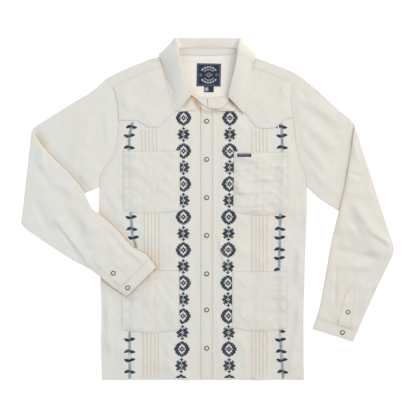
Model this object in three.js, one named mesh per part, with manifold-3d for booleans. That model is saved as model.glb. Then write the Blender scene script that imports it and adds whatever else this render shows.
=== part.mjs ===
// A guayabera shirt in cream cloth, laid flat on its back with both sleeves folded once at the elbow.
// Millimetres, +Z up. The origin is on the surface it lies on, below the middle of its outline.
// +Y points to the collar, and "left" is the -X side, on the left of someone who looks down at the front.
import * as THREE from "three";
import { mergeVertices } from "three/addons/utils/BufferGeometryUtils.js";
import Module from "manifold-3d";

const wasm = await Module();
wasm.setup();

const UP = new THREE.Vector3(0, 0, 1);
const DOWN = new THREE.Vector3(0, 0, -1);
const flat = (x, y) => new THREE.Vector2(x, y);
const { lerp, mapLinear, smoothstep, degToRad } = THREE.MathUtils;
const smooth = (t) => smoothstep(t, 0, 1);

// Turns rows of numbers into objects with named columns.
const table = (columns, rows) =>
  rows.map((row) => Object.fromEntries(columns.map((name, i) => [name, row[i]])));

// ---- Driving dimensions ----

const WALL = 1; // one layer of cloth
const BAND = 1.6; // two layers pressed together: placket, cuffs and collar
const GAP = 0.3; // between neighbouring pieces
const CREAM = 0xefe9dd;
const NAVY = 0x24344f;
const SNAP_GREY = 0xa9a79f;
const PEARL = 0xf1ece2;

const SIDES = ["left", "right"];
const inward = { left: 1, right: -1 }; // sign of X from a side towards the middle

const HEM_Y = -427;
const YOKE_SEAM_Y = 262; // where the back meets the back yoke
const FRONT_Z = WALL + GAP; // underside of the fronts, which lie on the back
const OVERLAY = WALL + GAP; // how far a yoke or pocket lies above a front

const PLACKET = { left: -17.3, right: 12.5, top: 277 };
const PLACKET_Z = FRONT_Z + WALL + GAP; // underside of the placket, which laps over the left front
const PLACKET_RISE = 9; // width over which the right front climbs to the placket

const TUCKS = { count: 5, pitch: 9.2, width: 3.2, height: 0.9, full: 196, start: 202 };
const TUCK_MIDDLE = { left: { top: -147, hem: -141 }, right: { top: 132, hem: 131 } };

const FORWARD_SEAM = 26; // from the shoulder fold to the seam on the front
const SHOULDER_FOLD = 1.05; // radius of the middle of the wall where the yoke wraps over
const NECK_LIFT = { from: 364, to: 378, height: 2.2 }; // the yoke lies on the back of the collar here

const SLEEVE = { half: 2, halfAtArmhole: 1.3, foldRadius: 4.2, settle: 60 };
const CUFF = { width: 28, half: 2.3 };
const FOREARM_REST = 4.9; // height of a forearm's underside over the sleeve and body that it lies on
const FOREARM_FALL = { start: 12, end: 62 }; // distances past their edge over which it falls to the surface
const ARMHOLE_FADE = { bend: 4, flatness: 6 }; // powers by which the armhole's form fades along a sleeve

const SNAP = { radius: 5.9, floor: 0.8, rimHeight: 1.9, rimWidth: 1.5, chamfer: 0.4, sides: 20 };
const SNAP_CAP = { height: 1.5, edge: 0.45, shoulder: 0.85, shoulderRadius: 0.6 }; // mm, then shares
const SNAP_X = -2.8;
const SNAP_FRONT_Y = [219.5, 124, 28.5, -66, -162, -252, -348];

const YOKE_JOIN = { flatTo: 8, wrapFrom: 14 }; // distances from the shoulder fold where the two overlap
const FAR = 600; // well outside the shirt
const CUT = { depth: 90, below: 10 }; // reach of the solids that cut an outline
const FOLD_FADE = 0.35; // share of a fold's length over which each end fades

// ---- Outlines in plan ----

const SIDE_SEAMS = table(
  ["y", "left", "right"],
  [
    [HEM_Y, -264.5, 240.5],
    [-370, -266, 239.5],
    [-250, -265.5, 239.5],
    [-140, -270, 243],
    [-10, -273, 247.5],
    [55, -271.5, 248],
  ],
);

// From the shoulder tip down to the armpit.
const ARMHOLES = {
  left: [
    flat(-254.5, 326),
    flat(-240, 311),
    flat(-228, 275),
    flat(-223.5, 232),
    flat(-225.5, 185),
    flat(-232, 143),
    flat(-247, 118),
    flat(-260.5, 100),
    flat(-270.5, 77),
    flat(-271.5, 55),
  ],
  right: [
    flat(228, 335),
    flat(214, 313),
    flat(209.5, 288),
    flat(211.5, 247),
    flat(217.5, 202),
    flat(223, 152),
    flat(232, 119),
    flat(242, 94),
    flat(247, 74),
    flat(248, 55),
  ],
};

// The shoulder folds, from the neck to the shoulder tip.
const SHOULDERS = {
  left: [
    flat(-98, 389),
    flat(-121, 381.5),
    flat(-150, 373),
    flat(-184, 360),
    flat(-219, 345),
    flat(-254.5, 326),
  ],
  right: [flat(98, 387), flat(119, 379), flat(145, 370), flat(175, 359), flat(205, 347), flat(228, 335)],
};

// Neck seam of the fronts, from the forward shoulder seam down to the placket.
const FRONT_NECK = {
  left: [flat(-95, 366), flat(-88, 346), flat(-77, 320), flat(-62, 298), flat(-44, 285), flat(-18, 277)],
  right: [
    flat(96, 364),
    flat(89, 345),
    flat(79, 320),
    flat(68, 300),
    flat(54, 286),
    flat(34, 278),
    flat(12, 277),
  ],
};
const BACK_NECK = [
  flat(-98, 389),
  flat(-82, 385.5),
  flat(-45, 383.5),
  flat(45, 383.5),
  flat(82, 385),
  flat(98, 387),
];

// Shaped lower edges of the front yokes, from the armhole to the placket.
const YOKE_EDGES = {
  left: [
    flat(-260, 223),
    flat(-177, 221),
    flat(-165, 215),
    flat(-151, 205),
    flat(-123, 203),
    flat(-95, 230),
    flat(-78, 243),
    flat(-30, 246),
  ],
  right: [
    flat(250, 227),
    flat(198, 227),
    flat(166, 202),
    flat(143, 201),
    flat(120, 205),
    flat(93, 241),
    flat(72, 245),
    flat(20, 244),
  ],
};

// A pocket has a straight mouth at the top and a shallow curve at the bottom.
const POCKETS = table(
  ["name", "side", "left", "right", "top", "corner", "bottom"],
  [
    ["pocket_upper_left", "left", -212, -70, 145.5, -5, -11],
    ["pocket_upper_right", "right", 65, 201, 142.5, -7, -16],
    ["pocket_lower_left", "left", -216, -71, -153.5, -302.5, -310],
    ["pocket_lower_right", "right", 61, 200, -156.5, -297, -306],
  ],
);

// Edges of the sleeves. The upper part runs from the armhole to the fold at the elbow, and the
// forearm runs on from there, turned back over it, to the end of the cuff.
const SLEEVE_EDGES = {
  left: {
    outward: -1,
    top: [flat(-254.5, 326), flat(-289.5, 295), flat(-350.8, 257.5), flat(-435.2, 204)],
    under: [flat(-271.5, 55), flat(-308.3, 38.8), flat(-385, 4), flat(-461.8, -31.5)],
    forearmTop: [
      flat(-436.6, 191.5),
      flat(-400, 142.5),
      flat(-342.5, 85),
      flat(-309.8, 43.5),
      flat(-289.5, 3),
      flat(-271.3, -12),
      flat(-230.5, -48.3),
      flat(-187, -96),
      flat(-155, -113),
      flat(-128.5, -146),
    ],
    forearmUnder: [
      flat(-462.8, -40.5),
      flat(-442, -59),
      flat(-350.8, -120),
      flat(-289.5, -154),
      flat(-239.5, -194),
      flat(-202.8, -219),
    ],
  },
  right: {
    outward: 1,
    top: [flat(228, 335), flat(277, 295), flat(319.8, 255), flat(358.6, 223.5)],
    under: [flat(248, 55), flat(280.5, 26), flat(328, -5), flat(460.3, -91.4)],
    forearmTop: [
      flat(365.2, 203),
      flat(347, 84),
      flat(328, -5),
      flat(310.5, -79.3),
      flat(294.8, -165),
      flat(280, -245),
      flat(261.3, -299),
    ],
    forearmUnder: [flat(464.7, -105.3), flat(458, -125), flat(418, -210), flat(390, -272), flat(364.5, -331)],
  },
};

// Plackets of the sleeves: the pointed upper end first, then round to it.
const SLEEVE_PLACKETS = {
  left: {
    outline: [flat(-291, -118), flat(-268, -106), flat(-190, -173), flat(-209, -203), flat(-281, -137)],
    snaps: [flat(-235.5, -160), flat(-199.5, -196.5)],
  },
  right: {
    outline: [flat(366, -180), flat(369.5, -212), flat(353.5, -318), flat(320, -301), flat(342, -216)],
    snaps: [flat(350.5, -257.5), flat(336.5, -308.5)],
  },
};

// Sections across the collar, from its left end round the back of the neck to its right end: where
// the leaf meets the stand, the crest that it turns over, and its outer edge.
const LEAF_SECTIONS = table(
  ["joinX", "joinY", "joinZ", "crestX", "crestY", "crestZ", "edgeX", "edgeY", "edgeZ", "crown"],
  [
    [-40, 286, 7.6, -37.5, 288, 12, -76.5, 242, 5.2, 1],
    [-58, 317, 12, -56, 314, 17.5, -89, 282, 5, 2.5],
    [-66, 341, 15.5, -63.5, 341, 21.5, -98.5, 322, 5, 3],
    [-73, 374, 18, -70, 374, 24.5, -109.5, 355, 5.2, 3],
    [-74, 396, 16, -74, 405, 23, -119, 377, 7.5, 3],
    [-71, 401, 11, -80.5, 426.5, 10, -121, 387.5, 4, 0],
    [-62, 403, 7.5, -74, 427, 4.5, -104, 388, 0.9, 0],
    [-40, 404, 6, -42, 427.3, 3.8, -62, 386.5, 0.85, 0],
    [0, 404, 5.6, 0, 427, 3.6, 0, 386, 0.85, 0],
    [40, 404, 6, 42, 427, 3.8, 62, 386.5, 0.85, 0],
    [62, 403, 7.5, 74, 426.5, 4.5, 103, 386, 0.9, 0],
    [71, 401, 11, 80.5, 426, 10, 119, 384.5, 4, 0],
    [75, 396, 16, 76, 404, 23, 117, 374, 7.5, 3],
    [75, 372, 18, 72, 372, 24.5, 110, 352, 5.2, 3],
    [69, 344, 15.5, 66, 344, 21.5, 105, 316, 5, 3],
    [61, 316, 12, 58.5, 314, 17.5, 99.5, 276, 5, 2.5],
    [53.5, 281, 7.6, 51, 280, 12, 90, 238, 5.2, 1],
  ],
);

// Sections across the collar stand, in the same order: its seam to the body and its top edge.
const STAND_SECTIONS = table(
  ["seamX", "seamY", "seamZ", "topX", "topY", "topZ"],
  [
    [-2, 277.5, 5.6, 1, 253, 15],
    [-14, 278, 5.6, -13, 261.5, 13],
    [-30, 281.5, 5.4, -28, 275, 10],
    [-45, 287, 5.2, -42.5, 287, 7],
    [-62, 300.5, 5, -60, 316, 10.5],
    [-76, 322, 5, -68, 340, 14],
    [-88, 352, 5, -75, 373, 16.5],
    [-92, 380, 6.6, -76, 395, 14.5],
    [-80, 388, 5.2, -72, 400, 9.5],
    [-60, 386, 4.4, -60, 402.5, 6],
    [0, 385, 4, 0, 402.5, 4.6],
    [60, 386, 4.4, 60, 402.5, 6],
    [80, 388, 5.2, 72, 400, 9.5],
    [92, 379, 6.6, 77, 395, 14.5],
    [89, 351, 5, 77, 371, 16.5],
    [79, 323, 5, 71, 343, 14],
    [68, 303, 5, 63, 316, 10.5],
    [58, 289, 5.2, 55.5, 282, 7],
    [40, 280.5, 5.4, 47, 261, 10],
    [22, 278.5, 5.6, 30, 250.5, 13],
    [4, 277.5, 5.6, 4, 252.3, 15],
  ],
);

const LABELS = {
  neck_label: { x: 2.5, y: 335.5, width: 60, height: 57, turn: -1 },
  size_tab: { x: 2.8, y: 299.5, width: 24, height: 14, turn: -1 },
};
const POCKET_TAB = { left: 73.5, right: 108.5, bottom: 130, top: 139 };

// The largest soft folds: ridges between two points in plan, with half their width.
const FOLD_COLUMNS = ["x0", "y0", "x1", "y1", "width", "height"];
const FOLDS = {
  front: {
    left: table(FOLD_COLUMNS, [[-248, -205, -246, -375, 11, 2.6]]),
    right: table(FOLD_COLUMNS, [[231, -95, 217, -190, 11, 2]]),
  },
  upperSleeve: {
    left: table(FOLD_COLUMNS, [[-262, 108, -330, 62, 26, 2.5]]),
    right: table(FOLD_COLUMNS, [
      [222, 312, 338, 212, 26, 3],
      [235, 262, 318, 176, 26, 2.2],
    ]),
  },
  forearm: {
    left: table(FOLD_COLUMNS, [
      [-395, 40, -285, -128, 30, 3.5],
      [-330, 50, -215, -90, 24, 1.8],
    ]),
    right: table(FOLD_COLUMNS, [
      [352, -58, 440, -150, 28, 3.2],
      [338, 60, 400, -30, 26, 2],
    ]),
  },
};

function foldHeight(folds, x, y) {
  return folds.reduce((rise, fold) => {
    const run = flat(fold.x1 - fold.x0, fold.y1 - fold.y0);
    const length = run.length();
    const along = ((x - fold.x0) * run.x + (y - fold.y0) * run.y) / length;
    const across = Math.abs((x - fold.x0) * run.y - (y - fold.y0) * run.x) / length;
    const ends = Math.min(along, length - along) / (FOLD_FADE * length);
    return rise + fold.height * smooth(ends) * smooth(1 - across / fold.width);
  }, 0);
}

// ---- Solids ----

// A closed geometry from points and triangles, turned so that its faces point out.
function closedGeometry(points, triangles) {
  const volume = triangles.reduce(
    (sum, [a, b, c]) => sum + points[a].dot(points[b].clone().cross(points[c])),
    0,
  );
  const facing = volume < 0 ? triangles.map(([a, b, c]) => [a, c, b]) : triangles;
  return new THREE.BufferGeometry().setFromPoints(points).setIndex(facing.flat());
}

function solidOf(geometry) {
  const bare = geometry.clone();
  bare.deleteAttribute("normal");
  bare.deleteAttribute("uv");
  const merged = mergeVertices(bare, 1e-4);
  const vertProperties = new Float32Array(merged.attributes.position.array);
  const triVerts = new Uint32Array(merged.index.array);
  return new wasm.Manifold(new wasm.Mesh({ numProp: 3, vertProperties, triVerts }));
}

function geometryOf(solid) {
  const mesh = solid.getMesh();
  const geometry = new THREE.BufferGeometry();
  geometry.setAttribute("position", new THREE.BufferAttribute(mesh.vertProperties, 3));
  return geometry.setIndex(new THREE.BufferAttribute(mesh.triVerts, 1));
}

// Joins two skins on the same grid of points, and closes the rim between them.
function wallBetween(upper, lower) {
  const rows = upper.length;
  const columns = upper[0].length;
  const at = (skin, i, j) => (skin * rows + i) * columns + j;
  const triangles = [];
  const quad = (a, b, c, d) => triangles.push([a, b, c], [a, c, d]);
  for (let i = 0; i < rows - 1; i++) {
    for (let j = 0; j < columns - 1; j++) {
      quad(at(0, i, j), at(0, i, j + 1), at(0, i + 1, j + 1), at(0, i + 1, j));
      quad(at(1, i, j), at(1, i + 1, j), at(1, i + 1, j + 1), at(1, i, j + 1));
    }
    quad(at(0, i, 0), at(0, i + 1, 0), at(1, i + 1, 0), at(1, i, 0));
    const last = columns - 1;
    quad(at(0, i, last), at(1, i, last), at(1, i + 1, last), at(0, i + 1, last));
  }
  for (let j = 0; j < columns - 1; j++) {
    quad(at(1, 0, j), at(1, 0, j + 1), at(0, 0, j + 1), at(0, 0, j));
    const last = rows - 1;
    quad(at(0, last, j), at(0, last, j + 1), at(1, last, j + 1), at(1, last, j));
  }
  return closedGeometry([...upper.flat(), ...lower.flat()], triangles);
}

// A wall with its middle on a grid of points.
function wallOnGrid(grid, thickness) {
  const clamp = (i, count) => Math.max(0, Math.min(i, count - 1));
  const skin = (side) =>
    grid.map((row, i) =>
      row.map((point, j) => {
        const next = grid[clamp(i + 1, grid.length)][j];
        const down = next.clone().sub(grid[clamp(i - 1, grid.length)][j]);
        const across = row[clamp(j + 1, row.length)].clone().sub(row[clamp(j - 1, row.length)]);
        const normal = across.cross(down).normalize();
        return point.clone().addScaledVector(normal, (side * thickness) / 2);
      }),
    );
  return wallBetween(skin(1), skin(-1));
}

// A tall solid on an outline in plan, which cuts a wall to that outline.
function cutter(outline) {
  const settings = { depth: CUT.depth, bevelEnabled: false };
  const geometry = new THREE.ExtrudeGeometry(new THREE.Shape(outline), settings);
  return solidOf(geometry.translate(0, 0, -CUT.below));
}

// A wall laid over columns and rows, with its underside at height(x, y), cut to its outlines.
function laidWall({ columnsAt, rows, height, thickness, outlines }) {
  const skin = (rise) =>
    rows.map((y) => columnsAt(y).map((x) => new THREE.Vector3(x, y, height(x, y) + rise)));
  const wall = solidOf(wallBetween(skin(thickness), skin(0)));
  return outlines.reduce((solid, outline) => solid.intersect(cutter(outline)), wall);
}

// ---- Sleeves ----

// Places across a flattened sleeve: distances from an edge as shares of its half thickness, with how
// full it is there, and shares of its width between them.
const EDGE_STEPS = table(["inset", "fullness"], [[0, 0], [0.5, 0.8], [2, 1]]);
const WIDTH_STEPS = [0.125, 0.25, 0.375, 0.5, 0.625, 0.75, 0.875];

function stepsAcross(width, half, inset) {
  const near = EDGE_STEPS.map((step) => ({
    share: (inset + step.inset * half) / width,
    fullness: step.fullness,
  }));
  const far = near.map(({ share, fullness }) => ({ share: 1 - share, fullness })).reverse();
  return [...near, ...WIDTH_STEPS.map((share) => ({ share, fullness: 1 })), ...far];
}

// One ring of a flattened tube: along its front from edge to edge, and back along its back.
function ringOf(station, inset) {
  const half = station.half - inset;
  const steps = stepsAcross(station.width, half, inset);
  const side = (sign) =>
    steps.map(({ share, fullness }) => {
      const point = station.path(share);
      const facesUp = sign * station.normal.z === 1;
      const rise = facesUp ? fullness * foldHeight(station.folds, point.x, point.y) : 0;
      return point.addScaledVector(station.normal, sign * half * fullness).addScaledVector(UP, rise);
    });
  return [...side(1), ...side(-1).slice(1, -1).reverse()];
}

// The part of a ring that faces up once the sleeve is folded back.
const backOfRing = (ring) => ring.slice(EDGE_STEPS.length * 2 + WIDTH_STEPS.length);

// A hollow flattened tube, open at both ends.
function flatTube(stations, wall) {
  const skins = [0, wall].map((inset) => stations.map((station) => ringOf(station, inset)));
  const rings = stations.length;
  const around = skins[0][0].length;
  const at = (skin, i, k) => (skin * rings + i) * around + (k % around);
  const triangles = [];
  const quad = (a, b, c, d) => triangles.push([a, b, c], [a, c, d]);
  for (let k = 0; k < around; k++) {
    for (let i = 0; i < rings - 1; i++) {
      quad(at(0, i, k), at(0, i, k + 1), at(0, i + 1, k + 1), at(0, i + 1, k));
      quad(at(1, i, k), at(1, i + 1, k), at(1, i + 1, k + 1), at(1, i, k + 1));
    }
    quad(at(1, 0, k), at(1, 0, k + 1), at(0, 0, k + 1), at(0, 0, k));
    quad(at(0, rings - 1, k), at(0, rings - 1, k + 1), at(1, rings - 1, k + 1), at(1, rings - 1, k));
  }
  return { geometry: closedGeometry(skins.flat(2), triangles), rings: skins[0] };
}

// Distance from a point to an outline, or 0 inside it.
function distanceOutside(outline, x, y) {
  const point = new THREE.Vector3(x, y, 0);
  let inside = false;
  let nearest = Infinity;
  outline.forEach((a, i) => {
    const b = outline[(i + 1) % outline.length];
    if (a.y > y !== b.y > y && x < ((b.x - a.x) * (y - a.y)) / (b.y - a.y) + a.x) inside = !inside;
    const edge = new THREE.Line3(new THREE.Vector3(a.x, a.y, 0), new THREE.Vector3(b.x, b.y, 0));
    nearest = Math.min(nearest, edge.closestPointToPoint(point, true, new THREE.Vector3()).distanceTo(point));
  });
  return inside ? 0 : nearest;
}

const UPPER_STEPS = [0, 0.1, 0.22, 0.36, 0.52, 0.7, 1];
const TURN_ANGLES = [-60, -30, 0, 30, 60];
const FOREARM_STEPS = [0, 0.07, 0.18, 0.32, 0.46, 0.6, 0.74, 0.88, 1];

function sleeveStations(side) {
  const edges = SLEEVE_EDGES[side];
  const curves = {
    top: new THREE.SplineCurve(edges.top),
    under: new THREE.SplineCurve(edges.under),
    forearmTop: new THREE.SplineCurve(edges.forearmTop),
    forearmUnder: new THREE.SplineCurve(edges.forearmUnder),
    armhole: new THREE.SplineCurve(ARMHOLES[side]),
  };
  const upperOutline = [
    ...curves.top.getSpacedPoints(8),
    ...curves.under.getSpacedPoints(8).reverse(),
    ...curves.armhole.getSpacedPoints(8).reverse(),
  ];
  const supports = [upperOutline, bodyOutline(side)];

  // Underside of the forearm: over the cloth below it, or down on the surface.
  const rest = (x, y) => {
    const away = Math.min(...supports.map((outline) => distanceOutside(outline, x, y)));
    return FOREARM_REST * (1 - smoothstep(away, FOREARM_FALL.start, FOREARM_FALL.end));
  };

  const upper = UPPER_STEPS.map((u) => {
    const a = curves.top.getPointAt(u);
    const b = curves.under.getPointAt(u);
    const curved = (1 - u) ** ARMHOLE_FADE.bend;
    const half = lerp(SLEEVE.half, SLEEVE.halfAtArmhole, (1 - u) ** ARMHOLE_FADE.flatness);
    const path = (share) => {
      const straight = a.clone().lerp(b, share);
      const start = edges.top[0].clone().lerp(edges.under[0], share);
      const bend = curves.armhole.getPointAt(share).sub(start).multiplyScalar(curved);
      straight.add(bend);
      return new THREE.Vector3(straight.x, straight.y, half);
    };
    return { path, half, width: a.distanceTo(b), normal: UP, folds: FOLDS.upperSleeve[side] };
  });

  const foldA = [edges.top.at(-1), edges.forearmTop[0]];
  const foldB = [edges.under.at(-1), edges.forearmUnder[0]];
  const foldDirection = foldB[0].clone().sub(foldA[0]).normalize();
  const outwards = new THREE.Vector3(foldDirection.y, -foldDirection.x, 0).multiplyScalar(-edges.outward);
  const turn = TURN_ANGLES.map((degrees) => {
    const angle = degToRad(degrees);
    const t = (degrees + 90) / 180;
    const a = foldA[0].clone().lerp(foldA[1], t);
    const b = foldB[0].clone().lerp(foldB[1], t);
    const spoke = outwards.clone().multiplyScalar(Math.cos(angle)).addScaledVector(UP, Math.sin(angle));
    const path = (share) => {
      const axis = a.clone().lerp(b, share);
      const centre = new THREE.Vector3(axis.x, axis.y, SLEEVE.half + SLEEVE.foldRadius);
      return centre.addScaledVector(spoke, SLEEVE.foldRadius);
    };
    return { path, half: SLEEVE.half, width: a.distanceTo(b), normal: spoke.clone().negate(), folds: [] };
  });

  const foldTop = SLEEVE.half + 2 * SLEEVE.foldRadius;
  const forearmAt = (fromCuffEnd, u, half) => {
    const point = (curve) => curve.getPointAt(u * (1 - fromCuffEnd / curve.getLength()));
    const a = point(curves.forearmTop);
    const b = point(curves.forearmUnder);
    const path = (share) => {
      const p = a.clone().lerp(b, share);
      const fromFold = Math.abs(p.clone().sub(foldA[1]).cross(foldDirection));
      const settled = smooth(fromFold / SLEEVE.settle);
      return new THREE.Vector3(p.x, p.y, lerp(foldTop, rest(p.x, p.y) + half, settled));
    };
    return { path, half, width: a.distanceTo(b), normal: DOWN, folds: FOLDS.forearm[side] };
  };
  const forearm = FOREARM_STEPS.map((u) => forearmAt(CUFF.width + GAP, u, SLEEVE.half));
  const cuff = [CUFF.width, CUFF.width / 2, 0].map((fromEnd) => forearmAt(fromEnd, 1, CUFF.half));
  return { sleeve: [...upper, ...turn, ...forearm], cuff };
}

// The armhole as the sleeve's own end draws it.
function armholeLine(side) {
  const curve = new THREE.SplineCurve(ARMHOLES[side]);
  const width = ARMHOLES[side][0].distanceTo(ARMHOLES[side].at(-1));
  return stepsAcross(width, SLEEVE.halfAtArmhole, 0).map(({ share }) => curve.getPointAt(share));
}

// ---- Body ----

const sideSeam = (side) => SIDE_SEAMS.map((row) => flat(row[side], row.y));

// Moves a line in plan towards the middle of the body.
const movedIn = (points, side, distance) =>
  points.map((p) => flat(p.x + inward[side] * distance, p.y));

// The side seam and armhole of one side, from the hem up to the shoulder tip.
const bodySide = (side, gap = 0) => [
  ...sideSeam(side).slice(0, -1),
  ...movedIn(armholeLine(side), side, gap).reverse(),
];

function bodyOutline(side) {
  return [...bodySide(side), ...SHOULDERS[side].toReversed(), flat(0, 380), flat(0, HEM_Y)];
}

// Everything below a line that crosses the body, and everything above it.
const below = (line) => [...line, flat(line.at(-1).x, -FAR), flat(line[0].x, -FAR)];
const above = (line) => [...line, flat(line.at(-1).x, FAR), flat(line[0].x, FAR)];

// A line moved along its own normals, in plan. A positive distance moves it down the body.
function lowered(line, distance) {
  return line.map((p, i) => {
    const along = line[Math.min(i + 1, line.length - 1)].clone().sub(line[Math.max(i - 1, 0)]).normalize();
    const normal = flat(along.y, -along.x);
    if (normal.y > 0) normal.negate();
    return p.clone().addScaledVector(normal, distance);
  });
}

// A line with its ends carried on straight.
function extended(line, first, last = first) {
  const carry = (end, before, by) => end.clone().add(end.clone().sub(before).setLength(by));
  return [carry(line[0], line[1], first), ...line, carry(line.at(-1), line.at(-2), last)];
}

const tuckLines = (side, y) =>
  Array.from({ length: TUCKS.count }, (_, i) => {
    const middle = mapLinear(y, 210, HEM_Y, TUCK_MIDDLE[side].top, TUCK_MIDDLE[side].hem);
    return middle + (i - (TUCKS.count - 1) / 2) * TUCKS.pitch;
  });

// The tucks start at the yoke's lower edge and run down to the hem.
function tuckRise(side, x, y) {
  const nearest = Math.min(...tuckLines(side, y).map((line) => Math.abs(x - line)));
  const begun = 1 - smoothstep(y, TUCKS.full, TUCKS.start);
  return TUCKS.height * begun * Math.max(0, 1 - nearest / (TUCKS.width / 2));
}

// Underside of a front. Only the right one climbs to the placket.
function frontHeight(side, x, y) {
  const climbed = smooth(1 - (x - PLACKET.right) / PLACKET_RISE);
  const climb = side === "right" ? (PLACKET_Z - FRONT_Z) * climbed : 0;
  return FRONT_Z + climb + tuckRise(side, x, y) + foldHeight(FOLDS.front[side], x, y);
}

// Columns of each front between the side seam and its tucks, and between the tucks and the placket.
const FRONT_COLUMNS = {
  left: { before: [-290, -259, -252, -247, -242, -235, -200], after: [-100, 14] },
  right: { before: [11, 14, 17, 20, 23, 60], after: [200, 213, 219, 224, 229, 242, 262] },
};
const FOLD_ROWS = [-375, -345, -315, -275, -235, -205, -175, -145, -115, -95];
const FRONT_ROWS = [-FAR, ...FOLD_ROWS, TUCKS.full, TUCKS.start, FAR];

const frontColumns = (side) => (y) => {
  const tucks = tuckLines(side, y).flatMap((x) => [x - TUCKS.width / 2, x, x + TUCKS.width / 2]);
  return [...FRONT_COLUMNS[side].before, ...tucks, ...FRONT_COLUMNS[side].after];
};

// A piece that follows the surface of a front, cut to its outlines.
const onFront = (side, rise, outlines) =>
  laidWall({
    columnsAt: frontColumns(side),
    rows: FRONT_ROWS,
    height: (x, y) => frontHeight(side, x, y) + rise,
    thickness: WALL,
    outlines,
  });

const forwardSeam = (side) => extended(lowered(SHOULDERS[side], FORWARD_SEAM), 140, 60);

// The outline of a front or its yoke, from the side seam to its edge at the placket.
function frontOutline(side, middleX) {
  return [
    ...bodySide(side, GAP),
    ...SHOULDERS[side].toReversed(),
    ...FRONT_NECK[side].filter((p) => inward[side] * (middleX - p.x) > 0),
    flat(middleX, PLACKET.top),
    flat(middleX, HEM_Y),
  ];
}

function pocketOutline({ left, right, top, corner, bottom }) {
  const middle = flat((left + right) / 2, 2 * bottom - corner);
  const curve = new THREE.QuadraticBezierCurve(flat(right, corner), middle, flat(left, corner));
  return [flat(left, top), flat(right, top), ...curve.getPoints(8)];
}

const yokeLift = (y) => NECK_LIFT.height * smoothstep(y, NECK_LIFT.from, NECK_LIFT.to);

// Outline of the whole back, with room left round the shoulder folds.
function backOutline() {
  const shoulder = (side) => lowered(SHOULDERS[side], -YOKE_JOIN.flatTo);
  return [
    ...bodySide("left", GAP),
    ...shoulder("left").reverse(),
    ...BACK_NECK,
    ...shoulder("right"),
    ...bodySide("right", GAP).reverse(),
  ];
}

const yokeSeam = (shift) => [flat(-320, YOKE_SEAM_Y + shift), flat(320, YOKE_SEAM_Y + shift)];

function makeBack() {
  return laidWall({
    columnsAt: () => [-FAR, FAR],
    rows: [HEM_Y, FAR],
    height: () => 0,
    thickness: WALL,
    outlines: [backOutline(), below(yokeSeam(-GAP / 2))],
  });
}

// The strip of the yoke that wraps over a shoulder fold to the forward seam.
function shoulderWrap(side) {
  const fold = new THREE.SplineCurve(SHOULDERS[side]).getSpacedPoints(7);
  const outer = SHOULDER_FOLD + WALL / 2;
  const profile = [
    { inset: YOKE_JOIN.wrapFrom, z: 0 },
    { inset: outer, z: 0 },
    ...[-50, 0, 50].map((degrees) => ({
      inset: outer - SHOULDER_FOLD * Math.cos(degToRad(degrees)),
      z: SHOULDER_FOLD * (1 + Math.sin(degToRad(degrees))),
    })),
    { inset: outer, z: 2 * SHOULDER_FOLD },
    { inset: FORWARD_SEAM - GAP, z: 2 * SHOULDER_FOLD },
  ];
  const grid = profile.map(({ inset, z }) =>
    lowered(fold, inset).map((p) => new THREE.Vector3(p.x, p.y, WALL / 2 + z + yokeLift(p.y))),
  );
  return solidOf(wallOnGrid(grid, WALL));
}

function makeBackYoke() {
  // The wraps start inside the flat part, so that the two join.
  const innerEdge = extended(
    [
      ...lowered(SHOULDERS.left, YOKE_JOIN.flatTo).reverse(),
      ...BACK_NECK.slice(1, -1),
      ...lowered(SHOULDERS.right, YOKE_JOIN.flatTo),
    ],
    60,
  );
  const middle = laidWall({
    columnsAt: () => [-FAR, FAR],
    rows: [0, NECK_LIFT.from, 367, 371, 375, NECK_LIFT.to, FAR],
    height: (x, y) => yokeLift(y),
    thickness: WALL,
    outlines: [below(innerEdge)],
  });
  const wraps = SIDES.map(shoulderWrap);
  return wraps
    .reduce((solid, wrap) => solid.add(wrap), middle)
    .intersect(cutter(backOutline()))
    .intersect(cutter(above(yokeSeam(GAP / 2))));
}

function makePlacket() {
  const { left, right, top } = PLACKET;
  const outline = [flat(left, HEM_Y), flat(right, HEM_Y), flat(right, top - 1), flat(left, top - 1)];
  return laidWall({
    columnsAt: () => [-FAR, FAR],
    rows: [-FAR, FAR],
    height: () => PLACKET_Z,
    thickness: BAND,
    outlines: [outline],
  });
}

// ---- Collar ----

const vector = (row, name) => new THREE.Vector3(row[name + "X"], row[name + "Y"], row[name + "Z"]);

// A leaf section runs up from the stand, turns over the crest and falls, slightly crowned, to its edge.
function leafSection(row) {
  const crest = vector(row, "crest");
  const edge = vector(row, "edge");
  const fall = [0.3, 0.65].map((t) => crest.clone().lerp(edge, t).addScaledVector(UP, row.crown));
  if (row.crown === 0) fall.forEach((p) => (p.z = lerp(crest.z, edge.z, 0.85)));
  return [vector(row, "join"), crest, ...fall, edge];
}

const makeLeaf = () => wallOnGrid(LEAF_SECTIONS.map(leafSection), BAND);

function makeStand() {
  const sections = STAND_SECTIONS.map((row) => {
    const seam = vector(row, "seam");
    const top = vector(row, "top");
    return [seam, seam.clone().lerp(top, 0.5), top];
  });
  return wallOnGrid(sections, BAND);
}

// ---- Trim ----

function labelOutline({ x, y, width, height, turn }) {
  const corners = [
    [-1, -1],
    [1, -1],
    [1, 1],
    [-1, 1],
  ];
  const centre = flat(x, y);
  return corners.map(([u, v]) =>
    flat(x + (u * width) / 2, y + (v * height) / 2).rotateAround(centre, degToRad(turn)),
  );
}

const makeLabel = (name) =>
  laidWall({
    columnsAt: () => [-FAR, FAR],
    rows: [-FAR, FAR],
    height: () => WALL + GAP,
    thickness: WALL,
    outlines: [labelOutline(LABELS[name])],
  });

// A snap is a shallow metal cup, whose rim shows, with a domed pearl cap set in it.
const turned = (profile) => new THREE.LatheGeometry(profile, SNAP.sides).rotateX(Math.PI / 2);

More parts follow.
